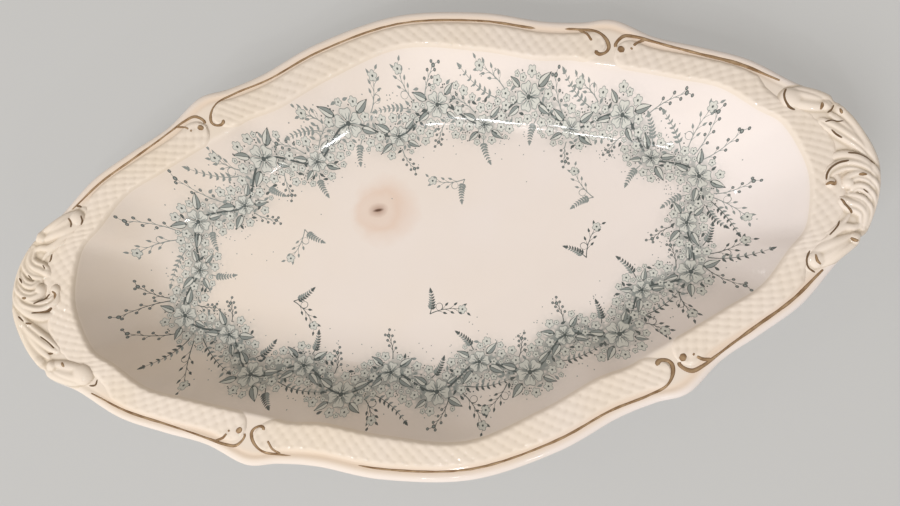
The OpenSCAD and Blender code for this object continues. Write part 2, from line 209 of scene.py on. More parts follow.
# Gilt strokes at the ends, with their widths: right end, then left end as it looks when turned round
TOUCHES_RIGHT = (
    (((95.0, 22.2), (93.9, 20.5), (93.8, 18.7), (94.6, 17.0), (96.0, 16.2)), 0.45),
    (((102.6, 16.8), (102.3, 15.8), (101.8, 14.9)), 0.75),
    (((105.5, 15.7), (104.7, 14.6), (103.5, 14.0)), 0.45),
    (((106.5, 14.5), (106.7, 13.6), (106.8, 12.9)), 0.7),
    (((102.2, 11.7), (104.1, 11.8), (105.3, 11.2), (106.7, 11.1)), 0.38),
    (((103.2, 9.5), (104.1, 8.1), (105.4, 6.8)), 0.34),
    (((105.7, 2.9), (108.1, 2.3), (110.2, 0.9), (111.9, -1.0)), 0.42),
    (((99.4, -2.9), (99.8, -1.4), (101.0, -0.1), (103.1, 0.8), (105.6, 0.9)), 0.46),
    (((98.9, -4.0), (99.9, -3.8), (101.0, -4.2), (101.7, -3.3)), 0.8),
    (((106.9, -3.0), (108.0, -3.1), (109.0, -3.4)), 0.7),
    (((107.3, -6.7), (108.5, -8.0)), 0.34),
    (((101.6, -8.0), (102.4, -9.6), (103.7, -12.2)), 0.56),
    (((101.8, -18.0), (102.7, -18.9), (103.6, -19.1)), 0.75),
    (((100.5, -13.3), (99.3, -14.8), (97.0, -16.6)), 0.3),
    (((91.8, -19.4), (90.6, -21.4), (90.7, -23.6), (92.2, -25.0)), 0.45),
    (((92.7, -20.5), (92.7, -22.2), (93.6, -23.4)), 0.7),
)
TOUCHES_LEFT = (
    (((93.1, -25.4), (92.1, -25.1), (91.4, -24.7)), 0.5),
    (((94.8, -22.2), (94.2, -20.9), (94.3, -19.4)), 0.5),
    (((91.3, -22.3), (91.2, -20.8), (91.9, -19.7)), 0.32),
    (((100.5, -13.5), (101.0, -12.1), (101.5, -11.3)), 0.5),
    (((102.9, -10.8), (102.5, -9.6)), 0.36),
    (((109.7, -8.5), (109.3, -7.6), (108.9, -6.8)), 0.42),
    (((107.1, -8.8), (106.7, -8.1), (106.4, -7.5)), 0.36),
    (((109.4, -3.0), (108.7, -2.8), (107.9, -2.8)), 0.66),
    (((102.0, -2.9), (104.1, -1.7), (106.5, -0.9)), 0.4),
    (((101.1, -3.4), (100.5, -2.7), (100.8, -1.2)), 0.7),
    (((101.6, 0.8), (103.4, 1.6), (107.2, 1.4)), 0.44),
    (((109.4, 3.6), (108.6, 3.9), (107.6, 4.2)), 0.56),
    (((111.4, 1.5), (109.8, 3.2)), 0.3),
    (((105.6, 7.8), (103.6, 9.7), (102.2, 11.6)), 0.34),
    (((104.3, 12.6), (102.9, 12.8)), 0.5),
    (((100.5, 15.4), (100.1, 16.2), (99.7, 16.9)), 0.7),
    (((92.0, 21.3), (92.8, 22.7), (94.5, 22.6)), 0.44),
)
# Strokes at the ends: widths over which they run out, painted shade on thin ones, width that isn't darkened
TOUCH_TAPER, TOUCH_SHADE, TOUCH_FULL = 2.6, 0.7, 0.8
# Gilt barbs and dots beside the curls of the right back lobe, with their widths: side panel, end panel
BARBS_SIDE = ((((46.8, 47.6), (48.4, 46.2), (49.4, 43.8)), 0.7),)
BARBS_END = (
    (((63.2, 41.8), (61.0, 41.3), (59.6, 40.4)), 0.7),
    (((55.5, 39.6), (56.3, 40.1), (57.1, 40.6)), 1.9),
    (((58.7, 39.6), (59.3, 40.0)), 0.7),
)

# Share of cream in the glaze: at the middle, added on the rim, lost along the length, less so on the rim
CREAM_MIDDLE, CREAM_RIM, CREAM_RUN, CREAM_RUN_RIM = 0.42, 0.4, 0.6, 0.6
# Set-ins over which the rim's glaze begins behind the lip, and the run over which it ends at the crest
LIP_FADE, CREST_FADE = (0.5, 3.0), 3.0
GLAZE_IOR = 1.5
# Patterns' sizes in millimetres: clouds and ripple of the glaze, packed dots of the wash, ragged stain,
# rubbed and dull places of the gilding, grit of the foot. The wash's dots and the grit are finer on a real
# dish, and are drawn as coarse as they need to show.
GLAZE_CLOUD, GLAZE_RIPPLE, WASH_DOT, STAIN_RAG = 22, 9, 1.3, 5
RUBBED_PLACE, DULL_PLACE, FOOT_GRIT = 2.5, 1.2, 0.6
# Heights over the base between which the stain sets in, so that the underside has none
STAIN_ABOVE = (1, 2)
# Heights between which the wiped edge of the foot turns to glaze
WIPED_TO, GLAZED_FROM = 0.4, 1.1
# Middle of the pit in the floor
PIT = (-15.0, 13.2)
# Stain in the floor: tint, middle, half sizes; then, in half sizes, the spans in which it comes up and in
# which it fades, and its strength
STAIN = (
    ("stain", (-12.9, 12.8), (9.0, 9.0), (-1, 0), (0.6, 1.15), 0.34),
    ("stain", PIT, (6.0, 6.0), (0.6, 0.9), (0.9, 1.2), 0.22),
    ("smudge", PIT, (2.7, 2.0), (-1, 0), (0.05, 1.1), 0.75),
    ("pit", PIT, (1.3, 0.4), (-1, 0), (0.5, 1.3), 0.95),
)

# Wreath's stem: points of the oval it sways about, its step, points ahead and behind that give its heading
OVAL_POINTS, STEM_STEP, HEADING_POINTS = 3000, 0.25, 5
# Wash round the wreath: share at the middle, gain towards the front that paints shade there, spread in
# bands; how far out and in how many parts it is worked out
WASH_MIDDLE, WASH_FRONT_SHADE, WASH_SPREAD = 0.85, 0.25, 0.75
WASH_REACH, WASH_PARTS = (95, 55), 40
# How far under the crest the print ends
PRINT_CLEAR = 3.5
# Widths of the engraver's lines: stem, branches and veins, tendrils, twigs
STEM_LINE, BRANCH_LINE, TENDRIL_LINE, TWIG_LINE = 0.5, 0.26, 0.2, 0.18
# One petal of a blossom of radius 1, and places on a wave of the stem with the radius of the blossom there
PETAL_POINTS = (
    (0.12, 0), (0.36, -0.2), (0.68, -0.42), (0.96, -0.3), (0.9, 0), (0.96, 0.3), (0.68, 0.42), (0.36, 0.2),
)
BLOSSOMS = ((0.25, 3.4), (0.75, 2.8))
# Petals of a blossom, leans of their veins, place and radius of a stamen, the eye as a share of the radius
PETALS, VEIN_LEANS, STAMEN, STAMEN_DOT, EYE = 5, (-0.28, 0, 0.28), (0.27, 0.1), 0.2, 0.16
# How much blossoms vary, widths of the drawn edges of petals and florets, clear ground round a blossom
BLOSSOM_VARIES, PETAL_EDGE, FLORET_EDGE, BLOSSOM_CLEAR = (0.92, 1.08), 0.15, 0.14, 0.15
# A leaf's outline: fullness, where it is fullest, taper; width of a small leaf
LEAF_FULL, LEAF_SKEW, LEAF_TAPER, SMALL_LEAF_PLUMP = 0.58, 0.8, 0.25, 0.45
# Leaves beside a blossom: start as a share of its radius, lean from the stem and how much that strays,
# lengths, width as a share of the length, where clear ground is sought along it and how much
LEAF_FOOT, LEAF_LEAN, LEAF_STRAY = 0.95, 0.62, 0.12
LEAF_LENGTHS, LEAF_PLUMP, LEAF_SOUGHT, LEAF_CLEAR = (3.4, 4.8), 0.44, 0.75, 0.7
# Branches: points, least length, what is cut off where there is no room, clear ground along and at the end
BRANCH_POINTS, BRANCH_LEAST, BRANCH_CUT = 9, 4.5, 1.2
BRANCH_CLEAR, BRANCH_END_CLEAR = 0.5, 0.8
# Sprays: kinds, number to a wave, distance of their feet from the stem, bend as a share of the length
SPRAY_KINDS = ("fern", "berries", "bud")
SPRAYS_TO_WAVE, SPRAY_FOOT, SPRAY_BEND = 3, 3.6, 0.3
# Outer sprays: leans from straight out, how much they stray, lengths; inner ones: stray and lengths
OUTER_LEANS, OUTER_STRAY, OUTER_LENGTHS = (-0.55, 0.1, 0.7, -0.95, 0.4, -0.2), 0.15, (8.5, 13)
INNER_STRAY, INNER_LENGTHS = 0.5, (5, 6.5)
# What sprays carry: fern leaflets with what each next one is shorter by and their lean, side leaves,
# berries along a branch and at its end, the bud
LEAFLET, LEAFLET_LESS, LEAFLET_LEAN, END_LEAFLET = 1.7, 0.11, 0.9, 1.6
SIDE_LEAF, SIDE_LEAF_LEAN, BERRY, END_BERRY, BUD = 1.3, 0.6, 0.38, 0.5, 1.3
# A twig's path and length; a bud's tendril: turn, points, radius and what it loses to a radian, lean
TWIG, TWIG_LENGTH = ((0, 0), (0.6, 0.25), (1.15, 0.7)), 1.2
TENDRIL_TURN, TENDRIL_POINTS = 1.6 * math.pi, 14
TENDRIL_WIDE, TENDRIL_LESS, TENDRIL_LEAN = 1.5, 0.18, 0.5
# Ground that sprays cover, round their leaves and round a bud
SPRAY_COVERS, BUD_COVERS = 1.0, 1.5
# Loose sprigs on the floor: where round the oval, shares of the wreath's half sizes, their lean; then the
# lean, length, bend and kind of their sprays
SPRIG_TURNS, SPRIG_SHARES, SPRIG_LEAN = (0.35, 1.35, 2.45, 3.6, 4.6, 5.7), (0.66, 0.5), 2.0
SPRIG_SPRAYS = ((0, 8.5, -0.35, "bud"), (0.75, 5.5, 0.3, "fern"))
# Small motifs between the flowers: radius and tries, share of the radius kept clear, least radius of a
# floret and of a leaf, length of a leaf, radius of a dot
FILLERS = ((1.3, 4000), (1.0, 5000), (0.75, 6000), (0.5, 6000), (0.25, 8000))
FILL_CLEAR, FLORET_LEAST, LEAF_LEAST, FILL_LEAF, FILL_DOT = 0.8, 0.7, 0.4, 1.6, 0.2
# A turn, near enough for scattered leaves
FULL_TURN = 6.28
# Stippled dots: tries, radius, clear ground
STIPPLE_TRIES, STIPPLE_DOT, STIPPLE_CLEAR = 1500, 0.17, 0.15

# Camera of the photograph, in millimetres, with its lens on a 36 mm sensor
CAMERA_PLACE = (16.5, -34.7, 239.9)
CAMERA_AIM = (3.8, -4.4, 23.6)
CAMERA_UP = (0.1716, 0.977, 0.1267)
LENS, SENSOR = 34, 36
# Lamps: name, watts, size in metres, direction from the dish, whether the glaze mirrors it; then how far off
LAMPS = (
    ("broad_lamp", 38, 1.2, (-0.46, -0.54, 0.7), False),
    ("left_lamp", 3, 1.0, (-0.85, 0.25, 0.5), False),
    ("high_window", 2.5, 0.06, (-0.11, -0.51, 0.85), True),
    ("middle_window", 3, 0.055, (-0.22, -0.65, 0.72), True),
    ("low_window", 1.5, 0.08, (0.17, -0.85, 0.48), True),
    ("side_window", 1, 0.1, (-0.71, 0.1, 0.7), True),
)
LAMP_DISTANCE = 2.4
# Colours of the lamps and of the even light from all round, and the strength of that
LAMP_LIGHT, FILL_LIGHT, FILL_STRENGTH = "#fdfdff", "#fff2e2", 0.43
# Share of the floor's tone that no shadow darkens
BOARD_EVEN = 0.55
# Half width of the floor and the nearest that the camera sees, in metres
TABLE_REACH, CLIP_START = 12.0, 0.01


def linear(code):
    """Linear colour, with alpha, of an sRGB hex value."""
    parts = [int(code[i:i + 2], 16) / 255 for i in (1, 3, 5)]
    return [c / 12.92 if c <= 0.04045 else ((c + 0.055) / 1.055) ** 2.4 for c in parts] + [1.0]


def length_property(name, description, millimetres):
    """A length setting in metres whose default is given in millimetres."""
    return FloatProperty(
        name=name, description=description, default=millimetres * MM, min=0, unit="LENGTH", precision=5
    )


def colour_property(name, description, code):
    """A colour setting whose default is an sRGB hex value."""
    return FloatVectorProperty(
        name=name, description=description, default=linear(code), size=4, min=0, max=1, subtype="COLOR"
    )


class UnderplateShape(PropertyGroup):
    """Sizes of the clay shell."""

    length: length_property("Length", "Tip to tip", (BODY_HIGH.x - BODY_LOW.x) / MM)
    width: length_property("Width", "Across the middle", (BODY_HIGH.y - BODY_LOW.y) / MM)
    crest_z: length_property("Crest height", "Crest between rim and well, above the table", BODY_HIGH.z / MM)
    foot_h: length_property("Foot height", "Height of the foot ring", FOOT_HIGH.z / MM)
    crest_rise: length_property("Crest rise", "Rise of the crest over the lip", 0.3)
    crest_soft: length_property("Crest softness", "How far the glaze rounds the crest", 0.9)
    lip_r: length_property("Lip radius", "Radius of the rolled lip", 1.8)
    rim_thick: length_property("Rim thickness", "Thickness of the rim under the crest", 4)
    well_depth: length_property("Well depth", "Floor below the crest", 17)
    wall_run: length_property("Wall run", "Run of the wall from crest to floor", 17)
    wall_shift: length_property("Wall shift", "How far the wall's underside lies outside its top", 3.5)
    wall_curve: FloatProperty(name="Wall curve", description="1 is straight, more is hollower", default=1.6)
    foot_set: length_property("Foot set-in", "Set-in of the foot from the floor's edge", 1)
    foot_w: length_property("Foot width", "Width of the foot ring", 4)
    floor_sag: length_property("Floor sag", "How far the floor sank in the kiln", 0.25)
    unevenness: length_property("Unevenness", "Waves left in the hand-pressed clay", 0.07)
    notch: length_property("Notches", "Depth of the notches in the edge between the end scrolls", 0.9)


class UnderplateRelief(PropertyGroup):
    """Sizes of the moulded rim and its gilding."""

    cushion_h: length_property("Cushion height", "Height of the woven panels over the rim", 0.5)
    cushion_run: length_property("Cushion run", "Run of the panels' rounded border", 1.5)
    panel_set: length_property("Panel set-in", "Set-in of the woven panels from the edge", 3.5)
    strand: length_property("Strand width", "Width of one woven strand", 2.3)
    weave_h: length_property("Weave height", "Height of the weave", 0.27)
    scroll_h: length_property("Scroll height", "Height of the boldest scroll", 1.55)
    fillet: length_property("Fillet", "How far glaze fills the corners of the scrolls", 0.4)
    gilt_t: length_property("Gilding height", "How far a gilt line stands up", 0.1)


class UnderplateWreath(PropertyGroup):
    """Sizes of the printed wreath."""

    half_l: length_property("Wreath half length", "From the middle to the wreath's line at the ends", 71.5)
    half_w: length_property("Wreath half width", "From the middle to the wreath's line at the sides", 36)
    sway: length_property("Sway", "How far the stem swings to each side", 3)
    band: length_property("Band", "Half width of the dense foliage", 5.5)
    waves: IntProperty(name="Waves", description="Waves of the running stem", default=14, min=4)
    seed: IntProperty(name="Seed", description="Start of the random draws", default=11)


class UnderplateFinish(PropertyGroup):
    """Colours of glaze, clay, ink and gilding."""

    ivory: colour_property("Ivory glaze", "Glaze over the clay", "#eee7e6")
    cream: colour_property("Cream glaze", "Glaze where it lies thicker", "#e8dac6")
    # Darkens the hollows of the relief, part pooled glaze and part painted shade; on the foot it tints the
    # grit
    pooled_and_shade: colour_property("Pooled glaze", "Glaze and grime in the hollows of the relief", "#b7a68a")
    blush: colour_property("Blush", "Breath of gold beside the gilding", "#e2c3a4")
    # Also the colour of the painted shade that makes the wreath's tint heavier at the front
    wash: colour_property("Ink wash", "Soft tint round the printed foliage", "#8b9390")
    ink_dark: colour_property("Dark ink", "Outlines and stems", "#565d5b")
    ink_mid: colour_property("Middle ink", "Shaded leaves", "#8d9491")
    ink_pale: colour_property("Pale ink", "Petals and light leaves", "#d2d3cc")
    stain: colour_property("Stain", "Halo of the stain in the floor", "#dcb99f")
    smudge: colour_property("Smudge", "Brown edge of the pit in the floor", "#9d7259")
    pit: colour_property("Pit", "Middle of the stain", "#5c4130")
    clay: colour_property("Foot clay", "Wiped clay of the foot", "#d3c2ab")
    gold: colour_property("Gold", "Worn gilding", "#886745")
    # Lighter gold along the strokes' crowns: rubbed wear and painted highlight
    gold_thin_and_lit: colour_property("Thin gold", "Gilding rubbed thin", "#c6a986")
    # Painted shade laid on thin gilt strokes, for gold that mirrors the dark of the hollows
    gold_deep: colour_property("Deep gold", "Gilding darkened in the hollows", "#5d4832")
    table: colour_property("Table", "Plain floor under the dish", "#c9cac9")
    backdrop: colour_property("Backdrop", "Plain ground behind the table", "#c6c5c3")


class UnderplateSettings(PropertyGroup):
    """All settings of the underplate."""

    shape: PointerProperty(type=UnderplateShape)
    relief: PointerProperty(type=UnderplateRelief)
    wreath: PointerProperty(type=UnderplateWreath)
    finish: PointerProperty(type=UnderplateFinish)


class Millimetres:
    """A group of settings with its lengths in millimetres and its other numbers as they are."""

    def __init__(self, group):
        for name, prop in group.bl_rna.properties.items():
            if prop.type in {"FLOAT", "INT"}:
                value = getattr(group, name)
                setattr(self, name, value / MM if prop.unit == "LENGTH" else value)


def settings():
    """The scene's underplate settings."""
    return bpy.context.scene.underplate


# Curves and blends


def through(a, b, c, d, u):
    """Point on the smooth curve from b to c, with a and d as the points beside them."""
    return 0.5 * (
        2 * b + (c - a) * u + (2 * a - 5 * b + 4 * c - d) * u**2 + (3 * b - a - 3 * c + d) * u**3
    )


def smooth_line(points, steps):
    """The smooth curve through a few given points, in steps to each span."""
    p = np.asarray(points, float)
    p = np.vstack([2 * p[0] - p[1], p, 2 * p[-1] - p[-2]])
    u = np.arange(1, steps + 1)[:, None] / steps
    spans = [through(p[i], p[i + 1], p[i + 2], p[i + 3], u) for i in range(len(p) - 3)]
    return np.vstack([p[1:2], *spans])


def lengths_along(line):
    """Distance from the start to each point of a line."""
    return np.concatenate([[0], np.cumsum(np.linalg.norm(np.diff(line, axis=0), axis=1))])


def even_line(line, step):
    """A line's points again, evenly spaced about one step apart, with any further values they carry."""
    length = lengths_along(line[:, :2])
    at = np.linspace(0, length[-1], max(3, round(length[-1] / step) + 1))
    return np.stack([np.interp(at, length, column) for column in line.T], axis=1)


def left_of(line):
    """Unit vectors to the left of a line at its points."""
    run = np.gradient(line, axis=0)
    run /= np.linalg.norm(run, axis=1, keepdims=True)
    return np.stack([-run[:, 1], run[:, 0]], axis=1)


def nearest(points, line):
    """Distances of points from a line, below 0 right of it, and shares of the line where they are nearest."""
    start, step = line[:-1], np.diff(line, axis=0)
    away = points[:, None] - start
    share = np.clip((away * step).sum(-1) / (step**2).sum(-1), 0, 1)
    gap = np.linalg.norm(away - share[..., None] * step, axis=-1)
    best = gap.argmin(1)
    row = np.arange(len(points))
    left = step[best, 0] * away[row, best, 1] - step[best, 1] * away[row, best, 0]
    return np.copysign(gap[row, best], left), (best + share[row, best]) / len(step)


def soft_min(a, b, reach):
    """The lower of two heights, with the corner between them rounded within a reach."""
    near = np.maximum(reach - np.abs(a - b), 0) / reach
    return np.minimum(a, b) - near * near * reach / 4


def soft_max(a, b, reach):
    """The higher of two heights, with the corner between them filled within a reach."""
    return -soft_min(-a, -b, reach)


def ease(t):
    """Runs from 0 to 1 with level ends."""
    t = np.clip(t, 0, 1)
    return t * t * (3 - 2 * t)


def shoulder(t):
    """Runs from 0 to 1, steep at first and level at the end."""
    return 1 - (1 - np.clip(t, 0, 1)) ** 2


class Dish:
    """Surfaces of the underplate over stations round its edge."""

    def __init__(self, shape):
        self.size = size = Millimetres(shape)
        half_l, half_w = size.length / 2, size.width / 2
        quarter = [(x, half_w - y, rim) for x, y, rim in SIDE_POINTS]
        quarter += [(half_l - x, y, rim) for x, y, rim in END_POINTS]
        first, last = quarter[1], quarter[-2]
        before, after = (-first[0], first[1], first[2]), (last[0], -last[1], last[2])
        self.knots = np.array([before, *quarter, after])
        self.edge_z = size.crest_z - size.crest_rise
        self.floor_z = size.crest_z - size.well_depth
        self.table = np.linspace(-LOOP / 2, 1.5 * LOOP, RUN_STEPS + 1)
        self.run = lengths_along(self.plan(self.table, np.full_like(self.table, RIM_MIDDLE)))

    def edge(self, q):
        """Edge points and rim widths."""
        s = np.mod(q, LOOP)
        place = np.abs(np.mod(s, 2 * SPANS) - SPANS)
        j = np.minimum(place.astype(int), SPANS - 1)
        knots = self.knots
        p = through(knots[j], knots[j + 1], knots[j + 2], knots[j + 3], (place - j)[..., None])
        left = (s > SPANS) & (s < 3 * SPANS)
        signs = np.stack([np.where(left, -1, 1), np.where(s > 2 * SPANS, -1, 1)], axis=-1)
        return p[..., :2] * signs, p[..., 2]

    def lead(self, q):
        """Unit vectors along the section lines, towards the well."""
        lead = self.edge(q)[0] * (SPINE_SHARE - 1, -1)
        return lead / np.linalg.norm(lead, axis=-1, keepdims=True)

    def plan(self, q, w):
        """Points a set-in from the edge."""
        return self.edge(q)[0] + self.lead(q) * w[..., None]

    def notched_plan(self, q, w):
        """Points a set-in from the edge, with the small notches beside the end scrolls."""
        depth = 0
        for station, run in NOTCHES:
            turn = np.mod(q - station + SPANS, 2 * SPANS) - SPANS
            depth = depth + np.exp(-((turn / run) ** 2))
        return self.plan(q, w + self.size.notch * depth * np.exp(-w / NOTCH_FADE))

    def even_stations(self, start, stop, step):
        """Stations about one step apart, measured along the middle of the rim."""
        low, high = np.interp([start, stop], self.table, self.run)
        return np.interp(np.linspace(low, high, round((high - low) / step) + 1), self.run, self.table)

    def floor_edge(self, q):
        """Edge of the floor: an oval in which the lobes have faded."""
        total = 0
        for k, weight in enumerate(EASE_WEIGHTS):
            s = q + (k - (len(EASE_WEIGHTS) - 1) / 2) * EASE_STEP
            total = total + weight * self.plan(s, self.edge(s)[1] + self.size.wall_run)
        return total / sum(EASE_WEIGHTS)

    def waves(self, xy):
        """Slow unevenness of hand-pressed clay."""
        x, y = xy[..., 0], xy[..., 1]
        along, across = x / SLOW_RUNS[0] + SLOW_PHASES[0], y / SLOW_RUNS[1] + SLOW_PHASES[1]
        rising = (x + QUICK_SLANTS[0] * y) / QUICK_RUNS[0] + QUICK_PHASE
        falling = (y - QUICK_SLANTS[1] * x) / QUICK_RUNS[1]
        slow, quick = np.sin(along) * np.cos(across), np.sin(rising) * np.sin(falling)
        return self.size.unevenness * (slow + QUICK_SHARE * quick)

    def rim_point(self, q, w):
        """Points on top of the rim: round lip, shallow line groove, easy rise, rounded crest."""
        size, lip = self.size, self.size.lip_r
        rim = self.edge(q)[1]
        roll = self.edge_z - lip + np.sqrt(np.maximum(0, lip**2 - (lip - np.clip(w, 0, lip)) ** 2))
        share = np.clip((w - lip) / (rim - lip), 0, 1)
        rise = self.edge_z + size.crest_rise * (1 - np.cos(math.pi * share)) / 2
        groove = GROOVE_DEPTH * np.exp(-(((w - GROOVE_SET) / GROOVE_HALF) ** 2))
        top = np.where(w < lip, roll, rise) - groove
        crest = self.plan(q, rim)
        run = np.linalg.norm(self.floor_edge(q) - crest, axis=-1)
        wall = size.crest_z + (rim - w) * size.wall_curve * size.well_depth / run
        xy = self.notched_plan(q, w)
        z = soft_min(top, wall, size.crest_soft) + self.waves(xy) * ease(w / lip)
        return np.concatenate([xy, z[..., None]], axis=-1)

    def wall_plan(self, q, a, moved):
        """Points at a share of the wall's run, moved along the section line."""
        crest = self.plan(q, self.edge(q)[1])
        return crest + (self.floor_edge(q) - crest) * a + self.lead(q) * moved

    def wall_point(self, q, a):
        """Points on the well's wall, from the crest at 0 to the floor at 1."""
        size = self.size
        xy = self.wall_plan(q, a, 0)
        fall = self.floor_z + size.well_depth * (1 - a) ** size.wall_curve
        z = soft_min(fall, size.crest_z, size.crest_soft) + self.waves(xy)
        return np.concatenate([xy, z[..., None]], axis=-1)

    def floor_point(self, q, share):
        """Points on the floor, from its edge at 1 towards the middle at 0."""
        xy = self.floor_edge(q) * share
        z = self.floor_z - self.size.floor_sag * (1 - share**2) ** 2 + self.waves(xy)
        return np.concatenate([xy, z[..., None]], axis=-1)

    def under_point(self, q, a):
        """Points on the underside, from the rim at 0 to the base at 1."""
        size = self.size
        rise = (size.crest_z - size.rim_thick - size.foot_h) * (1 - a) ** size.wall_curve
        z = np.full((len(q), 1), size.foot_h + rise)
        return np.concatenate([self.wall_plan(q, a, -size.wall_shift), z], axis=-1)

    def lip_point(self, q, turn):
        """Points on the rolled lip, from its underside at -90 degrees to its top at 90."""
        lip = self.size.lip_r
        xy = self.notched_plan(q, np.full(len(q), lip * (1 - math.cos(turn))))
        z = np.full((len(q), 1), self.edge_z - lip * (1 - math.sin(turn)))
        return np.concatenate([xy, z], axis=-1)


def tip_distance(q):
    """Stations between q and the nearer tip."""
    return np.abs(np.mod(q + SPANS, 2 * SPANS) - SPANS)


# Meshes


def quads(number):
    """Faces between the rows and columns of a grid of point numbers."""
    corners = number[:-1, :-1], number[1:, :-1], number[1:, 1:], number[:-1, 1:]
    return np.stack([c.ravel() for c in corners], axis=1)


class MeshParts:
    """Points, faces and point values of one mesh, gathered part by part in millimetres."""

    def __init__(self):
        self.points, self.faces, self.values = [], [], {}
        self.count = 0

    def add(self, points, *groups, **values):
        """Adds points, groups of faces that number them from 0, and named values for each point."""
        points = np.asarray(points, float).reshape(-1, 3)
        for faces in groups:
            self.faces += (np.asarray(faces, int) + self.count).tolist()
        self.points.append(points)
        for name, value in values.items():
            self.values.setdefault(name, []).append(np.broadcast_to(value, len(points)))
        self.count += len(points)

    def add_patch(self, top, drop, **values):
        """A closed patch: a grid of top points, and the same grid lower by a drop."""
        rows, columns = top.shape[:2]
        lower = rows * columns
        number = np.arange(lower).reshape(rows, columns)
        border = np.concatenate([number[0], number[1:, -1], number[-1, -2::-1], number[-2:0:-1, 0]])
        beside = np.roll(border, -1)
        sides = np.stack([border, beside, beside + lower, border + lower], axis=1)
        points = np.concatenate([top.reshape(-1, 3), (top - (0, 0, drop)).reshape(-1, 3)])
        doubled = {name: np.tile(np.ravel(value), 2) for name, value in values.items()}
        self.add(points, quads(number), quads(number + lower)[:, ::-1], sides, **doubled)

    def build(self, name, material):
        """Makes the object, in metres, smooth and with one material."""
        mesh = bpy.data.meshes.new(name)
        mesh.from_pydata((np.concatenate(self.points) * MM).tolist(), [], self.faces)
        for key, groups in self.values.items():
            layer = mesh.attributes.new(key, "FLOAT", "POINT")
            layer.data.foreach_set("value", np.concatenate(groups).astype(np.float32))
        mesh.shade_smooth()
        mesh.materials.append(material)
        piece = bpy.data.objects.new(name, mesh)
        bpy.context.scene.collection.objects.link(piece)
        return piece


def place(piece, slot, *nodes):
    """Hangs a finished piece on the part and hides the solids that it stands for."""
    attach(piece, "root")
    if nodes:
        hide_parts(*nodes)
    return piece


def surface_tree(*names):
    """Tree of the faces of finished pieces, for finding heights."""
    points, faces = [], []
    for name in names:
        mesh = bpy.data.objects[name].data
        start = len(points)
        points += [v.co for v in mesh.vertices]
        faces += [[start + i for i in p.vertices] for p in mesh.polygons]
    return BVHTree.FromPolygons(points, faces)


def heights(tree, xy):
    """Heights of the topmost surface over plan points, in millimetres."""
    down = Vector((0, 0, -1))
    high = BODY_HIGH.z + SEEK_FROM
    found = [tree.ray_cast(Vector((x * MM, y * MM, high)), down)[0] for x, y in xy]
    return np.array([BODY_LOW.z / MM if hit is None else hit.z / MM for hit in found])


# Materials


def add_node(tree, kind, inputs=(), **options):
    """Adds a node with its options; inputs are set, or linked where they are sockets or other nodes."""
    node = tree.nodes.new(kind)
    for name, value in options.items():
        setattr(node, name, value)
    for key, value in dict(inputs).items():
        if isinstance(value, bpy.types.Node):
            value = next(socket for socket in value.outputs if socket.enabled)
        if isinstance(value, bpy.types.NodeSocket):
            tree.links.new(value, node.inputs[key])
        else:
            node.inputs[key].default_value = value
    return node


def new_material(name):
    """A material and its node tree, still empty."""
    material = bpy.data.materials.new(name)
    material.use_nodes = True
    material.node_tree.nodes.clear()
    return material, material.node_tree


def blots(tree, size_mm, low, high, span=(0.3, 0.7), detail=2.0):
    """Value that wanders from low to high in cloudy blots of a real size, over a span of the noise."""
    at = add_node(tree, "ShaderNodeTexCoord").outputs["Object"]
    inputs = {"Vector": at, "Scale": 1 / (size_mm * MM), "Detail": detail}
    cloud = add_node(tree, "ShaderNodeTexNoise", inputs)
    return add_node(tree, "ShaderNodeMapRange", {0: cloud, 1: span[0], 2: span[1], 3: low, 4: high})


def tinted(tree, colour, *layers):
    """Colour with tints laid over it in turn, each by its share and its strength."""
    for share, strength, tint in layers:
        cover = add_node(tree, "ShaderNodeMath", {0: share, 1: strength}, operation="MULTIPLY")
        colour = add_node(tree, "ShaderNodeMix", {0: cover, 6: colour, 7: tint}, data_type="RGBA")
    return colour


def glazed_earthenware():
    """Earthenware pressed in a mould, dipped in clear glaze and fired.

    The eye sees warm ivory under a wet shine: creamier where the glaze lies thick, darker in hollows from
    pooled glaze and painted shade, softly tinted by the printed ink and by painted shade heavier towards the
    front, blushed beside the gilding, and stained in one place on the floor.
    """
    name = "pressed_earthenware_clear_glaze"
    if name in bpy.data.materials:
        return bpy.data.materials[name]
    finish = settings().finish
    material, tree = new_material(name)
    thick, hollow, blush, wash = (
        add_node(tree, "ShaderNodeAttribute", attribute_name=value).outputs["Fac"]
        for value in ("thick", "hollow", "blush", "wash")
    )
    at = add_node(tree, "ShaderNodeTexCoord").outputs["Object"]
    dots = add_node(tree, "ShaderNodeTexVoronoi", {"Vector": at, "Scale": 1 / (WASH_DOT * MM)})
    packed = add_node(tree, "ShaderNodeMapRange", {0: dots, 1: 0.2, 2: 0.6, 3: 0.3, 4: 1})
    colour = tinted(
        tree, finish.ivory,
        (thick, blots(tree, GLAZE_CLOUD, 0.75, 1, span=(0.35, 0.65)), finish.cream),
        # Hollows darker: part pooled glaze, part painted shade
        (hollow, 0.5, finish.pooled_and_shade),
        (blush, 0.35, finish.blush),
        (wash, packed, finish.wash),
        *stain_layers(tree),
    )
    swell = blots(tree, GLAZE_RIPPLE, 0, 1, span=(0, 1))
    ripple = add_node(tree, "ShaderNodeBump", {"Strength": 0.12, "Distance": 0.4 * MM, "Height": swell})
    inputs = {"Base Color": colour, "Roughness": blots(tree, GLAZE_RIPPLE, 0.05, 0.11), "Normal": ripple}
    shader = add_node(tree, "ShaderNodeBsdfPrincipled", {"IOR": GLAZE_IOR, **inputs})
    add_node(tree, "ShaderNodeOutputMaterial", {"Surface": shader})
    return material


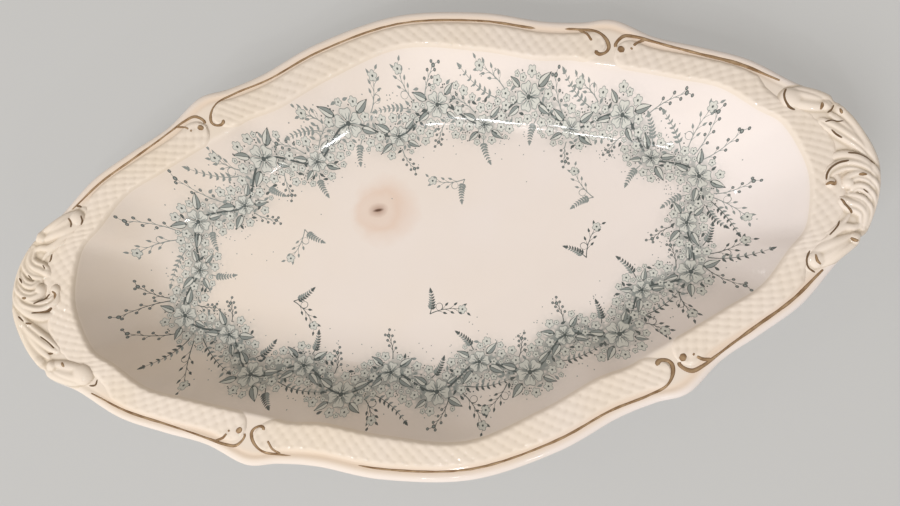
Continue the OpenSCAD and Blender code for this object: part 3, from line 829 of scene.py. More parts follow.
def away_from(tree, middle, halves):
    """Plan distance from a middle in half sizes, with a ragged border."""
    at = add_node(tree, "ShaderNodeTexCoord").outputs["Object"]
    centre = [middle[0] * MM, middle[1] * MM, 0]
    shares = [1 / (halves[0] * MM), 1 / (halves[1] * MM), 0]
    moved = add_node(tree, "ShaderNodeVectorMath", {0: at, 1: centre}, operation="SUBTRACT")
    scaled = add_node(tree, "ShaderNodeVectorMath", {0: moved, 1: shares}, operation="MULTIPLY")
    away = add_node(tree, "ShaderNodeVectorMath", {0: scaled}, operation="LENGTH")
    rag = blots(tree, STAIN_RAG, 0.9, 1.1)
    return add_node(tree, "ShaderNodeMath", {0: away, 1: rag}, operation="MULTIPLY")


def stain_layers(tree):
    """Tints of the stain inside the well: peach halo, its faint ring, brown smudge and dark pit."""
    at = add_node(tree, "ShaderNodeTexCoord").outputs["Object"]
    up = add_node(tree, "ShaderNodeSeparateXYZ", {0: at}).outputs["Z"]
    low, high = (FOOT_HIGH.z + above * MM for above in STAIN_ABOVE)
    inside = add_node(tree, "ShaderNodeMapRange", {0: up, 1: low, 2: high})
    layers = []
    for tint, middle, halves, (start, full), (fade, end), strength in STAIN:
        away = away_from(tree, middle, halves)
        risen = add_node(tree, "ShaderNodeMapRange", {0: away, 1: start, 2: full})
        left = add_node(tree, "ShaderNodeMapRange", {0: away, 1: fade, 2: end, 3: strength, 4: 0})
        share = add_node(tree, "ShaderNodeMath", {0: risen, 1: left}, operation="MULTIPLY")
        layers.append((share, inside, getattr(settings().finish, tint)))
    return layers


def transfer_ink(name, colour):
    """Print pulled from an engraved plate and fired under the glaze: one flat tone with the glaze's shine."""
    material, tree = new_material(name)
    inputs = {"Base Color": colour, "Roughness": 0.08, "IOR": GLAZE_IOR}
    shader = add_node(tree, "ShaderNodeBsdfPrincipled", inputs)
    add_node(tree, "ShaderNodeOutputMaterial", {"Surface": shader})
    return material


def worn_gilding():
    """Gold brushed on the fired glaze and fired again, later rubbed by use: brownish, uneven, half dull,
    lighter along the strokes' crowns from wear and a painted highlight, and darker in thin strokes from
    painted shade.
    """
    name = "brushed_gilding_worn"
    if name in bpy.data.materials:
        return bpy.data.materials[name]
    finish = settings().finish
    material, tree = new_material(name)
    crown, deep = (
        add_node(tree, "ShaderNodeAttribute", attribute_name=value).outputs["Fac"]
        for value in ("crown", "deep")
    )
    rubbed = blots(tree, RUBBED_PLACE, 0.15, 1, span=(0.35, 0.65), detail=4)
    # Crowns of the strokes lighter from rubbed wear and painted highlight; thin touches darker from painted
    # shade
    colour = tinted(tree, finish.gold, (rubbed, crown, finish.gold_thin_and_lit), (deep, 1, finish.gold_deep))
    inputs = {"Base Color": colour, "Metallic": 0.55, "Roughness": blots(tree, DULL_PLACE, 0.28, 0.45)}
    shader = add_node(tree, "ShaderNodeBsdfPrincipled", inputs)
    add_node(tree, "ShaderNodeOutputMaterial", {"Surface": shader})
    return material


def foot_clay():
    """Foot dipped with the dish and wiped before firing: glazed sides and a dry, sandy standing edge."""
    finish = settings().finish
    material, tree = new_material("wiped_earthenware_foot")
    at = add_node(tree, "ShaderNodeTexCoord").outputs["Object"]
    up = add_node(tree, "ShaderNodeSeparateXYZ", {0: at}).outputs["Z"]
    glazed = add_node(tree, "ShaderNodeMapRange", {0: up, 1: WIPED_TO * MM, 2: GLAZED_FROM * MM})
    grit = blots(tree, FOOT_GRIT, 0, 1, span=(0.4, 0.7), detail=4)
    colour = tinted(tree, finish.clay, (grit, 0.5, finish.pooled_and_shade), (glazed, 1, finish.ivory))
    dull = add_node(tree, "ShaderNodeMapRange", {0: glazed, 3: 0.75, 4: 0.16})
    inputs = {"Base Color": colour, "Roughness": dull, "IOR": GLAZE_IOR}
    shader = add_node(tree, "ShaderNodeBsdfPrincipled", inputs)
    add_node(tree, "ShaderNodeOutputMaterial", {"Surface": shader})
    return material


# Clay pieces


def shell_stations():
    """Stations of the shell's sections, close together round the two ends."""
    close, wide, reach = CLOSE_SECTIONS, WIDE_SECTIONS, END_REACH
    end = np.arange(-reach, reach - 0.5 / close, 1 / close)
    side = np.arange(reach, 2 * SPANS - reach - 0.5 / wide, 1 / wide)
    half = np.concatenate([end, side])
    return np.concatenate([half, half + 2 * SPANS])


def shell_rings(dish, q):
    """Rings of the shell: from the middle of the base out round the lip, and from there in to the floor."""
    lip, rim = dish.size.lip_r, dish.edge(q)[1]
    base = dish.under_point(q, 1.0)
    under = [base * (share, share, 1) for share in np.linspace(0.05, 0.95, BASE_RINGS)]
    under += [dish.under_point(q, a) for a in np.linspace(1, 0, UNDER_RINGS)]
    under += [dish.lip_point(q, turn) for turn in np.linspace(-math.pi / 2, math.pi / 2, LIP_RINGS)[:-1]]
    upper = [dish.rim_point(q, lip + share * (rim - lip)) for share in np.linspace(0, 1, RIM_RINGS)[:-1]]
    upper += [dish.wall_point(q, a) for a in np.linspace(0, 1, WALL_RINGS) ** WALL_CROWDING]
    upper += [dish.floor_point(q, share) for share in np.linspace(0.97, 0.04, FLOOR_RINGS)]
    return np.stack(under), np.stack(upper)


class UNDERPLATE_OT_dish(Operator):
    """Makes the glazed shell with its rim, well and underside"""

    bl_idname = "underplate.dish"
    bl_label = "Glazed dish"

    def execute(self, context):
        dish = Dish(settings().shape)
        q = shell_stations()
        under, upper = shell_rings(dish, q)
        rings = np.concatenate([under, upper])
        count, around = rings.shape[:2]
        number = np.arange(count * around).reshape(count, around)
        closed = np.concatenate([number, number[:, :1]], axis=1)
        hubs = [[0, 0, rings[0, 0, 2]], [0, 0, rings[-1, :, 2].mean()]]
        points = np.concatenate([rings.reshape(-1, 3), hubs])
        first, last = number[0], number[-1]
        base = np.stack([np.full(around, number.size), np.roll(first, -1), first], axis=1)
        floor = np.stack([np.full(around, number.size + 1), last, np.roll(last, -1)], axis=1)
        wash = wreath_wash_and_shade(points[:, :2])
        wash[:len(under) * around] = 0
        wash[-len(hubs):] = 0
        inward = set_ins(dish, q, rings)
        blush = np.append(gold_blush(q, inward), [0, 0])
        on_rim = np.append(rim_share(dish, q, inward), [0, 0])
        thick = glaze_thickness(points[:, 0] / dish.size.length, on_rim)
        parts = MeshParts()
        faces = quads(closed)[:, ::-1], base, floor
        parts.add(points, *faces, wash=wash, blush=blush, hollow=0.0, thick=thick)
        place(parts.build("glazed_dish", glazed_earthenware()), "glazed_earthenware", "dish_body")
        return {"FINISHED"}


def gold_blush(q, w):
    """How strongly the gilding tints the glaze beside it, at stations and set-ins."""
    along = ease((tip_distance(q) - BLUSH_START) / BLUSH_RUN)
    return along * np.exp(-(((w - BLUSH_SET) / BLUSH_SPREAD) ** 2))


def rim_share(dish, q, w):
    """1 on the rim, running down to 0 across the crest and towards the lip."""
    start, full = LIP_FADE
    within = ease((dish.edge(q)[1] + CREST_FADE / 2 - w) / CREST_FADE)
    return within * ease((w - start) / (full - start))


def glaze_thickness(along, on_rim):
    """How thick and creamy the glaze lies, by the share of the length from the middle: it ran to the left."""
    ran = CREAM_RUN * along * (1 - CREAM_RUN_RIM * on_rim)
    return np.clip(CREAM_MIDDLE - ran + CREAM_RIM * on_rim, 0, 1)


def set_ins(dish, q, rings):
    """Set-in of each ring's points from the edge; points under the lip count as far away."""
    away = np.linalg.norm(rings[..., :2] - dish.edge(q)[0], axis=-1)
    return np.where(rings[..., 2] > dish.edge_z - dish.size.lip_r, away, FAR)


class UNDERPLATE_OT_foot(Operator):
    """Makes the foot ring with its wiped standing edge"""

    bl_idname = "underplate.foot"
    bl_label = "Foot ring"

    def execute(self, context):
        dish = Dish(settings().shape)
        size = dish.size
        q = np.linspace(0, LOOP, FOOT_SECTIONS, endpoint=False)
        # One side of the section: let into the base, straight down, then rounded to the standing edge
        side = ((-0.5, size.foot_h + 0.3), (0, size.foot_h - 0.7), (0.1, 1), (0.35, 0.35), (0.9, 0))
        profile = [(size.foot_set + x, z) for x, z in side]
        profile += [(size.foot_set + size.foot_w - x, z) for x, z in reversed(side)]
        rings = [
            np.concatenate([dish.wall_plan(q, 1, x), np.full((len(q), 1), z)], axis=1) for x, z in profile
        ]
        number = np.arange(len(profile) * len(q)).reshape(len(profile), len(q))
        number = np.concatenate([number, number[:, :1]], axis=1)
        number = np.concatenate([number, number[:1]])
        parts = MeshParts()
        parts.add(np.stack(rings), quads(number))
        place(parts.build("standing_foot", foot_clay()), "foot_clay", "foot_ring")
        return {"FINISHED"}


def basket_weave(u, v):
    """Height from 0 to 1 of slanting strands, each going over one and under the next, in strand widths."""
    s, t = (u + v) / math.sqrt(2), (u - v) / math.sqrt(2)
    i, j = np.floor(s), np.floor(t)
    turn = np.where(np.mod(i + j, 2) == 0, 1.0, -1.0)
    crown_s, crown_t = np.cos(math.pi * (s - i - 0.5)), np.cos(math.pi * (t - j - 0.5))
    over = WEAVE_MEAN + WEAVE_SWING * turn * crown_s - WEAVE_ROUND * (1 - crown_t)
    under = WEAVE_MEAN - WEAVE_SWING * turn * crown_t - WEAVE_ROUND * (1 - crown_s)
    return soft_max(over, under, WEAVE_BLEND)


class UNDERPLATE_OT_panels(Operator):
    """Makes the four woven panels of the rim"""

    bl_idname = "underplate.panels"
    bl_label = "Woven panels"

    def execute(self, context):
        dish, relief = Dish(settings().shape), Millimetres(settings().relief)
        for piece, node, start, stop, curve in PANELS:
            q = dish.even_stations(start - PANEL_PAST, stop + PANEL_PAST, RELIEF_STEP)[:, None]
            outer = np.maximum(relief.panel_set, np.interp(tip_distance(q), BAND_STATIONS, BAND_SETS))
            inner = dish.edge(q)[1] + CREST_PAST
            w = outer - PANEL_MARGIN + (inner - outer + 2 * PANEL_MARGIN) * np.linspace(0, 1, PANEL_ROWS)
            q = np.broadcast_to(q, w.shape)
            near = np.clip(np.minimum(q - start, stop - q) / curve, 0, 1)
            half = (inner - outer) / 2 * np.sqrt(1 - (1 - near) ** 2)
            within = half - np.abs(w - (inner + outer) / 2)
            run = np.interp(q, dish.table, dish.run)
            weave = basket_weave(run / relief.strand, w / relief.strand)
            fade = ease(within / WEAVE_FADE)
            rise = relief.cushion_h * shoulder(within / relief.cushion_run)
            rise += relief.weave_h * (weave - 0.5) * fade
            rise -= BURIED * (1 - ease((within + DIP_FULL) / DIP_RUN))
            top = dish.rim_point(q, w)
            top[..., 2] += rise
            # Low places of the weave drawn darker: part pooled glaze, part painted shade
            hollow = np.clip(POOL_AND_SHADE_BELOW - weave, 0, 1) * fade
            blush, wash = gold_blush(q, w), np.zeros_like(w)
            thick = glaze_thickness(top[..., 0] / dish.size.length, 1)
            parts = MeshParts()
            parts.add_patch(top, PANEL_DROP, hollow=hollow, blush=blush, wash=wash, thick=thick)
            place(parts.build(piece, glazed_earthenware()), "glazed_earthenware", node)
        return {"FINISHED"}


def scroll_heights(points, relief):
    """Height of the right end's moulded scrolls, with the swell they rise from, over plan points."""
    height = np.zeros(len(points))
    for path, half, share, skew, channel in SCROLLS:
        away, along = nearest(points, smooth_line(path, RIDGE_STEPS))
        full = np.sin(math.pi * np.clip(along, RIDGE_ENDS, 1 - RIDGE_ENDS) ** skew) ** 0.5
        across = away / (half * (RIDGE_THIN + (1 - RIDGE_THIN) * full))
        arch = 1 - across**2
        ridge = np.sign(arch) * np.sqrt(np.abs(arch))
        ridge -= channel * np.exp(-(((across - CHANNEL_PLACE) / CHANNEL_HALF) ** 2))
        ridge *= relief.scroll_h * share * full
        height = soft_max(height, ridge, relief.fillet)
    for centre, radius, share in KNOBS:
        arch = 1 - (np.linalg.norm(points - centre, axis=1) / radius) ** 2
        dome = relief.scroll_h * share * np.sign(arch) * np.sqrt(np.abs(arch))
        height = soft_max(height, dome, relief.fillet)
    path, half, rise = SWELL
    away, _ = nearest(points, smooth_line(path, RIDGE_STEPS))
    return height + rise * ease(1 - np.abs(away) / half)


def blurred(values, times):
    """A grid of values evened out between neighbours."""
    for _ in range(times):
        padded = np.pad(values, 1, mode="edge")
        values = (
            padded[:-2, 1:-1] + padded[2:, 1:-1] + padded[1:-1, :-2] + padded[1:-1, 2:] + 2 * values
        ) / 6
    return values


class UNDERPLATE_OT_scrolls(Operator):
    """Makes the moulded scrolls at the two ends"""

    bl_idname = "underplate.scrolls"
    bl_label = "End scrolls"

    def execute(self, context):
        dish, relief = Dish(settings().shape), Millimetres(settings().relief)
        q = dish.even_stations(-SCROLL_STATIONS, SCROLL_STATIONS, RELIEF_STEP)[:, None]
        reach = np.minimum(SCROLL_REACH, dish.edge(q)[1] - CREST_CLEAR)
        w = reach * np.linspace(0.01, 1, SCROLL_ROWS)
        q = np.broadcast_to(q, w.shape)
        top = dish.rim_point(q, w)
        rise = scroll_heights(top[..., :2].reshape(-1, 2), relief).reshape(w.shape)
        # Corners between the scrolls drawn darker: part pooled glaze, part painted shade
        hollow = np.clip((blurred(rise, POOL_AND_SHADE_PASSES) - rise) * POOL_AND_SHADE_GAIN, 0, 1)
        top[..., 2] += rise * ease(w / EDGE_RUN) - BURIED * (1 - ease(rise / SCROLL_LEAST))
        bare = np.zeros_like(w)
        for piece, node, turn in SCROLL_ENDS:
            parts = MeshParts()
            thick = glaze_thickness(turn * top[..., 0] / dish.size.length, 1)
            ground = top * (turn, turn, 1)
            parts.add_patch(ground, SCROLL_DROP, hollow=hollow, blush=bare, wash=bare, thick=thick)
            place(parts.build(piece, glazed_earthenware()), "glazed_earthenware", node)
        return {"FINISHED"}


# Gilding


def stroke_line(path, width=None):
    """A stroke's smooth line with its width at every point."""
    points = np.array(path, float)
    if width is not None:
        points = np.column_stack([points, np.full(len(points), width)])
    return smooth_line(points, STROKE_STEPS)


def brushed(stroke):
    """A border stroke with its widths as the brush left them."""
    full = BRUSH_MIDDLE + BRUSH_GAIN * stroke[:, 0]
    return np.column_stack([stroke[:, :2], stroke[:, 2] * full])


def gilt_stroke(parts, tree, stroke, relief, draw, gaps=(), taper=0.8, deep=0.0):
    """A stroke of gold laid on the relief.

    The gaps are worn places as shares of its length, bare over their middle two thirds. The taper is the
    run of its ends in widths, and deep is how dark painted shade makes it.
    """
    stroke = even_line(stroke, STROKE_STEP if len(stroke) < LONG_POINTS else LONG_STEP)
    line, width = stroke[:, :2], stroke[:, 2]
    along = np.linspace(0, 1, len(line))
    length = lengths_along(line)[-1]
    end = np.clip(np.minimum(along, 1 - along) * length / (taper * width), 0, 1)
    (slow, slow_run), (quick, quick_run) = SLOW_SWAY, QUICK_SWAY
    sway = 1 + slow * np.sin(along * length / slow_run + draw.uniform(0, 6))
    sway += quick * np.sin(along * length / quick_run)
    half = width / 2 * np.sqrt(end * (2 - end)) * sway + GILT_ADDED
    for low, high in gaps:
        half *= ease(np.abs(along - (low + high) / 2) / ((high - low) / 2) * 3 - 2)
    across = np.linspace(-1, 1, STROKE_ACROSS)
    flat = line[:, None] + left_of(line)[:, None] * (half[:, None] * across)[..., None]
    z = heights(tree, flat.reshape(-1, 2)).reshape(flat.shape[:2])
    z += GILT_LIFT + relief.gilt_t * (1 - across**2) * np.minimum(1, half / GILT_FULL)[:, None]
    top = np.concatenate([flat, z[..., None]], axis=-1)
    kept = half > GILT_LEAST
    starts = np.flatnonzero(kept & ~np.append(False, kept[:-1]))
    stops = np.flatnonzero(kept & ~np.append(kept[1:], False)) + 1
    for start, stop in zip(starts, stops):
        if stop - start > 2:
            # Lighter along the crown: rubbed wear and painted highlight
            crown = np.tile(1 - across**2, stop - start)
            parts.add_patch(top[start:stop], GILT_DROP, crown=crown, deep=np.full(len(crown), deep))


class UNDERPLATE_OT_gilding(Operator):
    """Makes the gilt border lines with their curls, and the gilt strokes at the ends"""

    bl_idname = "underplate.gilding"
    bl_label = "Gilding"

    def execute(self, context):
        dish, relief = Dish(settings().shape), Millimetres(settings().relief)
        tree = surface_tree("glazed_dish", *(piece for piece, *_ in PANELS + SCROLL_ENDS))
        draw = random.Random(BRUSH_SEED)
        end, side = stroke_line(LINE_END), stroke_line(LINE_SIDE)
        for stroke in (end, side):
            stroke[:, :2] = dish.plan(stroke[:, 0], stroke[:, 1])
        middle = np.concatenate([side, side[-2::-1] * (-1, 1, 1)])
        back, front = (1, 1, 1), (-1, -1, 1)
        lines = (
            ("back_middle", back, middle, BARBS_SIDE, GAPS_BACK),
            ("front_middle", front, middle, BARBS_SIDE, GAPS_FRONT),
            ("back_right", back, end, BARBS_END, ()),
            ("back_left", (-1, 1, 1), end, BARBS_END, ()),
            ("front_left", front, end, BARBS_END, ()),
            ("front_right", (1, -1, 1), end, BARBS_END, ()),
        )
        for name, turn, line, barbs, gaps in lines:
            parts = MeshParts()
            gilt_stroke(parts, tree, brushed(line * turn), relief, draw, gaps)
            for path, width in barbs:
                gilt_stroke(parts, tree, brushed(stroke_line(path, width) * turn), relief, draw)
            place(parts.build("gilt_border_" + name, worn_gilding()), "gilding", "gilt_line_" + name)
        for name, turn, touches in (("right", 1, TOUCHES_RIGHT), ("left", -1, TOUCHES_LEFT)):
            parts = MeshParts()
            for path, width in touches:
                stroke = stroke_line(path, width) * (turn, turn, 1)
                # Painted shade: the thinner the stroke, the darker
                deep = TOUCH_SHADE * ease(2 * (1 - width / TOUCH_FULL))
                gilt_stroke(parts, tree, stroke, relief, draw, taper=TOUCH_TAPER, deep=deep)
            piece = parts.build(f"gilt_strokes_{name}", worn_gilding())
            place(piece, "gilding", f"gilt_touches_{name}_end")
        return {"FINISHED"}


# Printed wreath


def wreath_stem(wreath):
    """Closed stem of the wreath, swaying about an oval, in even steps from the right end."""
    turn = np.linspace(0, 2 * math.pi, OVAL_POINTS)
    oval = np.stack([wreath.half_l * np.cos(turn), wreath.half_w * np.sin(turn)], axis=1)
    oval = even_line(oval, STEM_STEP)
    sway = wreath.sway * np.sin(2 * math.pi * wreath.waves * np.linspace(0, 1, len(oval)))
    return oval - left_of(oval) * sway[:, None]


def wreath_wash_and_shade(points):
    """Strength from 0 to 1 of the soft tint round the printed foliage, heavier towards the front as painted
    shade.
    """
    wreath = Millimetres(settings().wreath)
    # Every fourth point of the stem is close enough here, and parts of the dish in turn spare memory
    stem = wreath_stem(wreath)[::4]
    away = np.full(len(points), FAR)
    close = np.flatnonzero((np.abs(points) < WASH_REACH).all(axis=1))
    for part in np.array_split(close, WASH_PARTS):
        gap = np.linalg.norm(points[part, None] - stem, axis=2)
        away[part] = gap.min(1)
    # Painted shade: the tint grows heavier towards the front
    heavier_in_front_shade = WASH_MIDDLE - WASH_FRONT_SHADE * points[:, 1] / wreath.half_w
    return np.clip(heavier_in_front_shade, 0, 1) * np.exp(-((away / (WASH_SPREAD * wreath.band)) ** 2))


class InkFilms:
    """Thin films of ink laid on the well's surface, gathered ink by ink."""

    # Lift off the glaze, step from level to level, depth below, half size and step of the grid of heights
    LIFT, STEP, SINK, REACH, GRID = 0.02, 0.025, 0.05, (96, 56), 0.5

    def __init__(self, tree):
        axes = [np.arange(-reach, reach + self.GRID / 2, self.GRID) for reach in self.REACH]
        xy = np.stack(np.meshgrid(*axes, indexing="ij"), axis=-1)
        z = heights(tree, xy.reshape(-1, 2)).reshape(xy.shape[:2])
        slope_x, slope_y = np.gradient(z, self.GRID)
        self.field = np.stack([-slope_x, -slope_y, z], axis=-1)
        self.inks = {name: MeshParts() for name in ("dark", "middle", "pale")}

    def ground(self, xy):
        """Two numbers for the lean of the surface and its height, at plan points."""
        at = (np.asarray(xy, float) + self.REACH) / self.GRID
        cell = np.clip(at.astype(int), 0, np.array(self.field.shape[:2]) - 2)
        (i, j), (u, v) = cell.T, (at - cell).T[..., None]
        near = self.field[i, j] * (1 - u) + self.field[i + 1, j] * u
        far = self.field[i, j + 1] * (1 - u) + self.field[i + 1, j + 1] * u
        return near * (1 - v) + far * v

    def laid(self, xy, level):
        """Plan points laid on the surface, a few hundredths of a millimetre up by level."""
        z = self.ground(xy)[:, 2:] + self.LIFT + self.STEP * level
        return np.hstack([xy, z])

    def plate(self, ink, outline, level):
        """A film inside a counter-clockwise outline."""
        count = len(outline)
        top = self.laid(np.vstack([outline, outline.mean(0)]), level)
        first, low = np.arange(count), count + 1
        second = np.roll(first, -1)
        lid = np.stack([first, second, np.full(count, count)], axis=1)
        sides = np.stack([first, first + low, second + low, second], axis=1)
        points = np.vstack([top, top - (0, 0, self.SINK + self.STEP * level)])
        self.inks[ink].add(points, lid, (lid + low)[:, ::-1], sides)

    def line(self, ink, path, width, level, tip=0.3):
        """A drawn line that thins out to a share of its width at its end."""
        half = width / 2 * np.linspace(1, tip, len(path))[:, None]
        beside = left_of(path) * half
        top = [self.laid(path + side * beside, level) for side in (-1, 1)]
        self.inks[ink].add_patch(np.stack(top, axis=1), self.SINK + self.STEP * level)

    def build(self, name, ink, material):
        """Makes one ink's piece, shaded by the surface under it so that the shine runs on."""
        parts = self.inks[ink]
        lean = self.ground(np.concatenate(parts.points)[:, :2])
        lean[:, 2] = 1
        lean /= np.linalg.norm(lean, axis=1, keepdims=True)
        piece = parts.build(name, material)
        piece.data.normals_split_custom_set_from_vertices(lean.tolist())
        return piece


def turned(points, at, angle, scale=1.0):
    """Plan points scaled, turned and moved to a place."""
    cos, sin = math.cos(angle), math.sin(angle)
    return np.asarray(points, float) * scale @ np.array([[cos, sin], [-sin, cos]]) + at


def smooth_loop(points, steps):
    """The smooth closed curve through a few points."""
    p = np.asarray(points, float)
    p = np.vstack([p[-1:], p, p[:2]])
    u = np.arange(steps)[:, None] / steps
    return np.vstack([through(p[i], p[i + 1], p[i + 2], p[i + 3], u) for i in range(len(p) - 3)])


def inset(outline, gap):
    """A counter-clockwise outline drawn in by a gap."""
    run = np.roll(outline, -1, axis=0) - np.roll(outline, 1, axis=0)
    run /= np.linalg.norm(run, axis=1, keepdims=True)
    return outline + gap * np.stack([-run[:, 1], run[:, 0]], axis=1)


def leaf_side(count):
    """One side of a leaf of length and width 1."""
    along = np.linspace(0, 1, count)
    return along, LEAF_FULL * np.sin(math.pi * along**LEAF_SKEW) * (1 - LEAF_TAPER * along)


def scalloped(lobes, depth, count):
    """Outline of a small flower of radius 1, or of a plain dot where the depth is 0."""
    turn = np.linspace(0, 2 * math.pi, count, endpoint=False)
    reach = 1 - depth * (1 - np.abs(np.cos(lobes * turn / 2)) ** 0.7)
    return np.stack([reach * np.cos(turn), reach * np.sin(turn)], axis=1)


class Wreath:
    """A printed wreath: swaying stem, blossoms, leaves, sprays and scattered florets."""

    def __init__(self, films, size, top):
        self.films, self.size, self.top = films, size, top
        self.draw = random.Random(size.seed)
        self.stem = wreath_stem(size)
        self.petal = smooth_loop(PETAL_POINTS, 3)
        self.taken = np.zeros((0, 3))

    def spot(self, share):
        """Stem point at a share of the way round, and the heading there."""
        count = len(self.stem) - 1
        i = int(share % 1 * count)
        ahead = self.stem[(i + HEADING_POINTS) % count] - self.stem[(i - HEADING_POINTS) % count]
        return self.stem[i], math.atan2(ahead[1], ahead[0])

    def take(self, *circles):
        """Marks circles of x, y and radius as covered."""
        self.taken = np.vstack([self.taken, circles])

    def free(self, at, radius):
        """Whether a circle is clear of all covered ones."""
        away = np.hypot(*(self.taken[:, :2] - at).T)
        return bool((away > self.taken[:, 2] + radius).all())

    def fits(self, at):
        """Whether a plan point lies well inside the crest."""
        return self.films.ground([at])[0, 2] < self.top

    def draw_stem(self):
        """The stem, in lengths that follow the surface."""
        for part in np.array_split(self.stem, 2 * self.size.waves):
            self.films.line("dark", part, STEM_LINE, 0, tip=1)

    def blossom(self, at, radius, angle):
        """An open flower of five notched petals with fine veins and a dotted eye."""
        films = self.films
        for k in range(PETALS):
            way = angle + k * 2 * math.pi / PETALS
            petal = turned(self.petal, at, way, radius)
            films.plate("middle", petal, 3)
            films.plate("pale", inset(petal, PETAL_EDGE), 4)
            for lean in VEIN_LEANS:
                vein = np.array([(0.28, lean * 0.4), (0.45, lean * 0.7), (0.66, lean)])
                films.line("middle", turned(vein, at, way, radius), BRANCH_LINE, 5)
            stamen = turned([STAMEN], at, way, radius)[0]
            films.plate("dark", turned(scalloped(1, 0, 6), stamen, 0, STAMEN_DOT), 5)
        films.plate("dark", turned(scalloped(1, 0, 9), at, 0, EYE * radius), 5)
        self.take((*at, radius + BLOSSOM_CLEAR))

    def leaf(self, at, length, width, angle):
        """A leaf with one half in shade and a drawn rib."""
        films = self.films
        x, y = leaf_side(9)
        lower = np.stack([x * length, -y * width], axis=1)
        upper = np.stack([x * length, y * width], axis=1)
        films.plate("dark", turned(np.vstack([lower, upper[-2:0:-1]]), at, angle), 0)
        rib = np.stack([x[1:-1] * length, 0 * x[1:-1] + 0.07], axis=1)
        shade, light = lower[1:-1] * (1, 0.8), upper[1:-1] * (1, 0.8)
        films.plate("middle", turned(np.vstack([shade, rib[::-1] * (1, -1)]), at, angle), 1)
        films.plate("pale", turned(np.vstack([rib, light[::-1]]), at, angle), 1)
        for share, radius in ((0.25, 0.4), (0.5, 0.5), (0.75, 0.35)):
            self.take((*turned([(share * length, 0)], at, angle)[0], radius * width))

    def small_leaf(self, ink, at, length, angle):
        """A little leaf in one tone."""
        x, y = leaf_side(6)
        y = y * SMALL_LEAF_PLUMP
        outline = np.vstack([np.stack([x, -y], axis=1), np.stack([x, y], axis=1)[-2:0:-1]])
        self.films.plate(ink, turned(outline, at, angle, length), 0)

    def floret(self, at, radius, angle):
        """A small flower with a dark edge and eye."""
        outline = turned(scalloped(5, 0.3, 20), at, angle, radius)
        self.films.plate("middle", outline, 0)
        self.films.plate("pale", inset(outline, FLORET_EDGE), 1)
        self.films.plate("dark", turned(scalloped(1, 0, 6), at, 0, 0.22 * radius), 2)

    def berry(self, at, radius):
        """A round berry with a lighter middle."""
        self.films.plate("dark", turned(scalloped(1, 0, 9), at, 0, radius), 1)
        self.films.plate("middle", turned(scalloped(1, 0, 7), at, 0, 0.6 * radius), 2)

    def branch(self, at, angle, length, bend):
        """Line of a bending branch that stays inside the crest, or nothing where there is no room."""
        while length > BRANCH_LEAST:
            along = np.linspace(0, 1, BRANCH_POINTS)
            path = turned(np.stack([along, bend * along**2], axis=1), at, angle, length)
            clear = all(self.free(point, BRANCH_CLEAR) for point in path[2:])
            if clear and self.fits(path[-1]) and self.free(path[-1], BRANCH_END_CLEAR):
                return path
            length -= BRANCH_CUT
        return None

    def spray(self, at, angle, length, bend, kind):
        """A branch with paired leaflets, with berries, or with a bud and curling tendrils."""
        path = self.branch(at, angle, length, bend)
        if path is None:
            return
        # Painted shade: sprays at the front are drawn in dark ink, those at the back in middle ink
        tone = "dark" if at[1] < 0 else "middle"
        self.films.line(tone, path, BRANCH_LINE, 0)
        ways = np.arctan2(*np.gradient(path, axis=0).T[::-1])
        for i in range(2, BRANCH_POINTS):
            size = LEAFLET - LEAFLET_LESS * i
            for side in (-1, 1):
                if kind == "fern":
                    ink = "middle" if side > 0 else tone
                    self.small_leaf(ink, path[i], size, ways[i] + side * LEAFLET_LEAN)
                elif i % 2 == (side > 0):
                    twig = turned(np.multiply(TWIG, (1, side)), path[i], ways[i], TWIG_LENGTH)
                    self.films.line(tone, twig, TWIG_LINE, 0)
                    if kind == "berries":
                        self.berry(twig[-1], BERRY)
                    else:
                        self.small_leaf(tone, twig[-1], SIDE_LEAF, ways[i] + side * SIDE_LEAF_LEAN)
            self.take((*path[i], SPRAY_COVERS))
        if kind == "bud":
            self.floret(path[-1], BUD, ways[-1])
            self.take((*path[-1], BUD_COVERS))
            turn = np.linspace(0, TENDRIL_TURN, TENDRIL_POINTS)
            curl = np.stack([np.sin(turn), 1 - np.cos(turn)], axis=1)
            curl *= (TENDRIL_WIDE - TENDRIL_LESS * turn)[:, None]
            curl = turned(curl * (1, 1 if bend < 0 else -1), path[3], ways[3] + TENDRIL_LEAN)
            self.films.line(tone, curl, TENDRIL_LINE, 0)
        elif kind == "fern":
            self.small_leaf(tone, path[-1], END_LEAFLET, ways[-1])
        else:
            self.berry(path[-1], END_BERRY)

    def draw_flowers(self):
        """Blossoms where the stem swings out and in, with leaves beside them along the stem."""
        for k in range(self.size.waves):
            for place_on, radius in BLOSSOMS:
                at, heading = self.spot((k + place_on) / self.size.waves)
                radius *= self.draw.uniform(*BLOSSOM_VARIES)
                self.blossom(at, radius, self.draw.uniform(0, 2))
                for way in (0, math.pi):
                    for lean in (-LEAF_LEAN, LEAF_LEAN):
                        angle = heading + way + lean + self.draw.uniform(-LEAF_STRAY, LEAF_STRAY)
                        foot = at + LEAF_FOOT * radius * np.array([math.cos(angle), math.sin(angle)])
                        length = self.draw.uniform(*LEAF_LENGTHS)
                        if self.free(turned([(LEAF_SOUGHT * length, 0)], foot, angle)[0], LEAF_CLEAR):
                            self.leaf(foot, length, LEAF_PLUMP * length, angle)

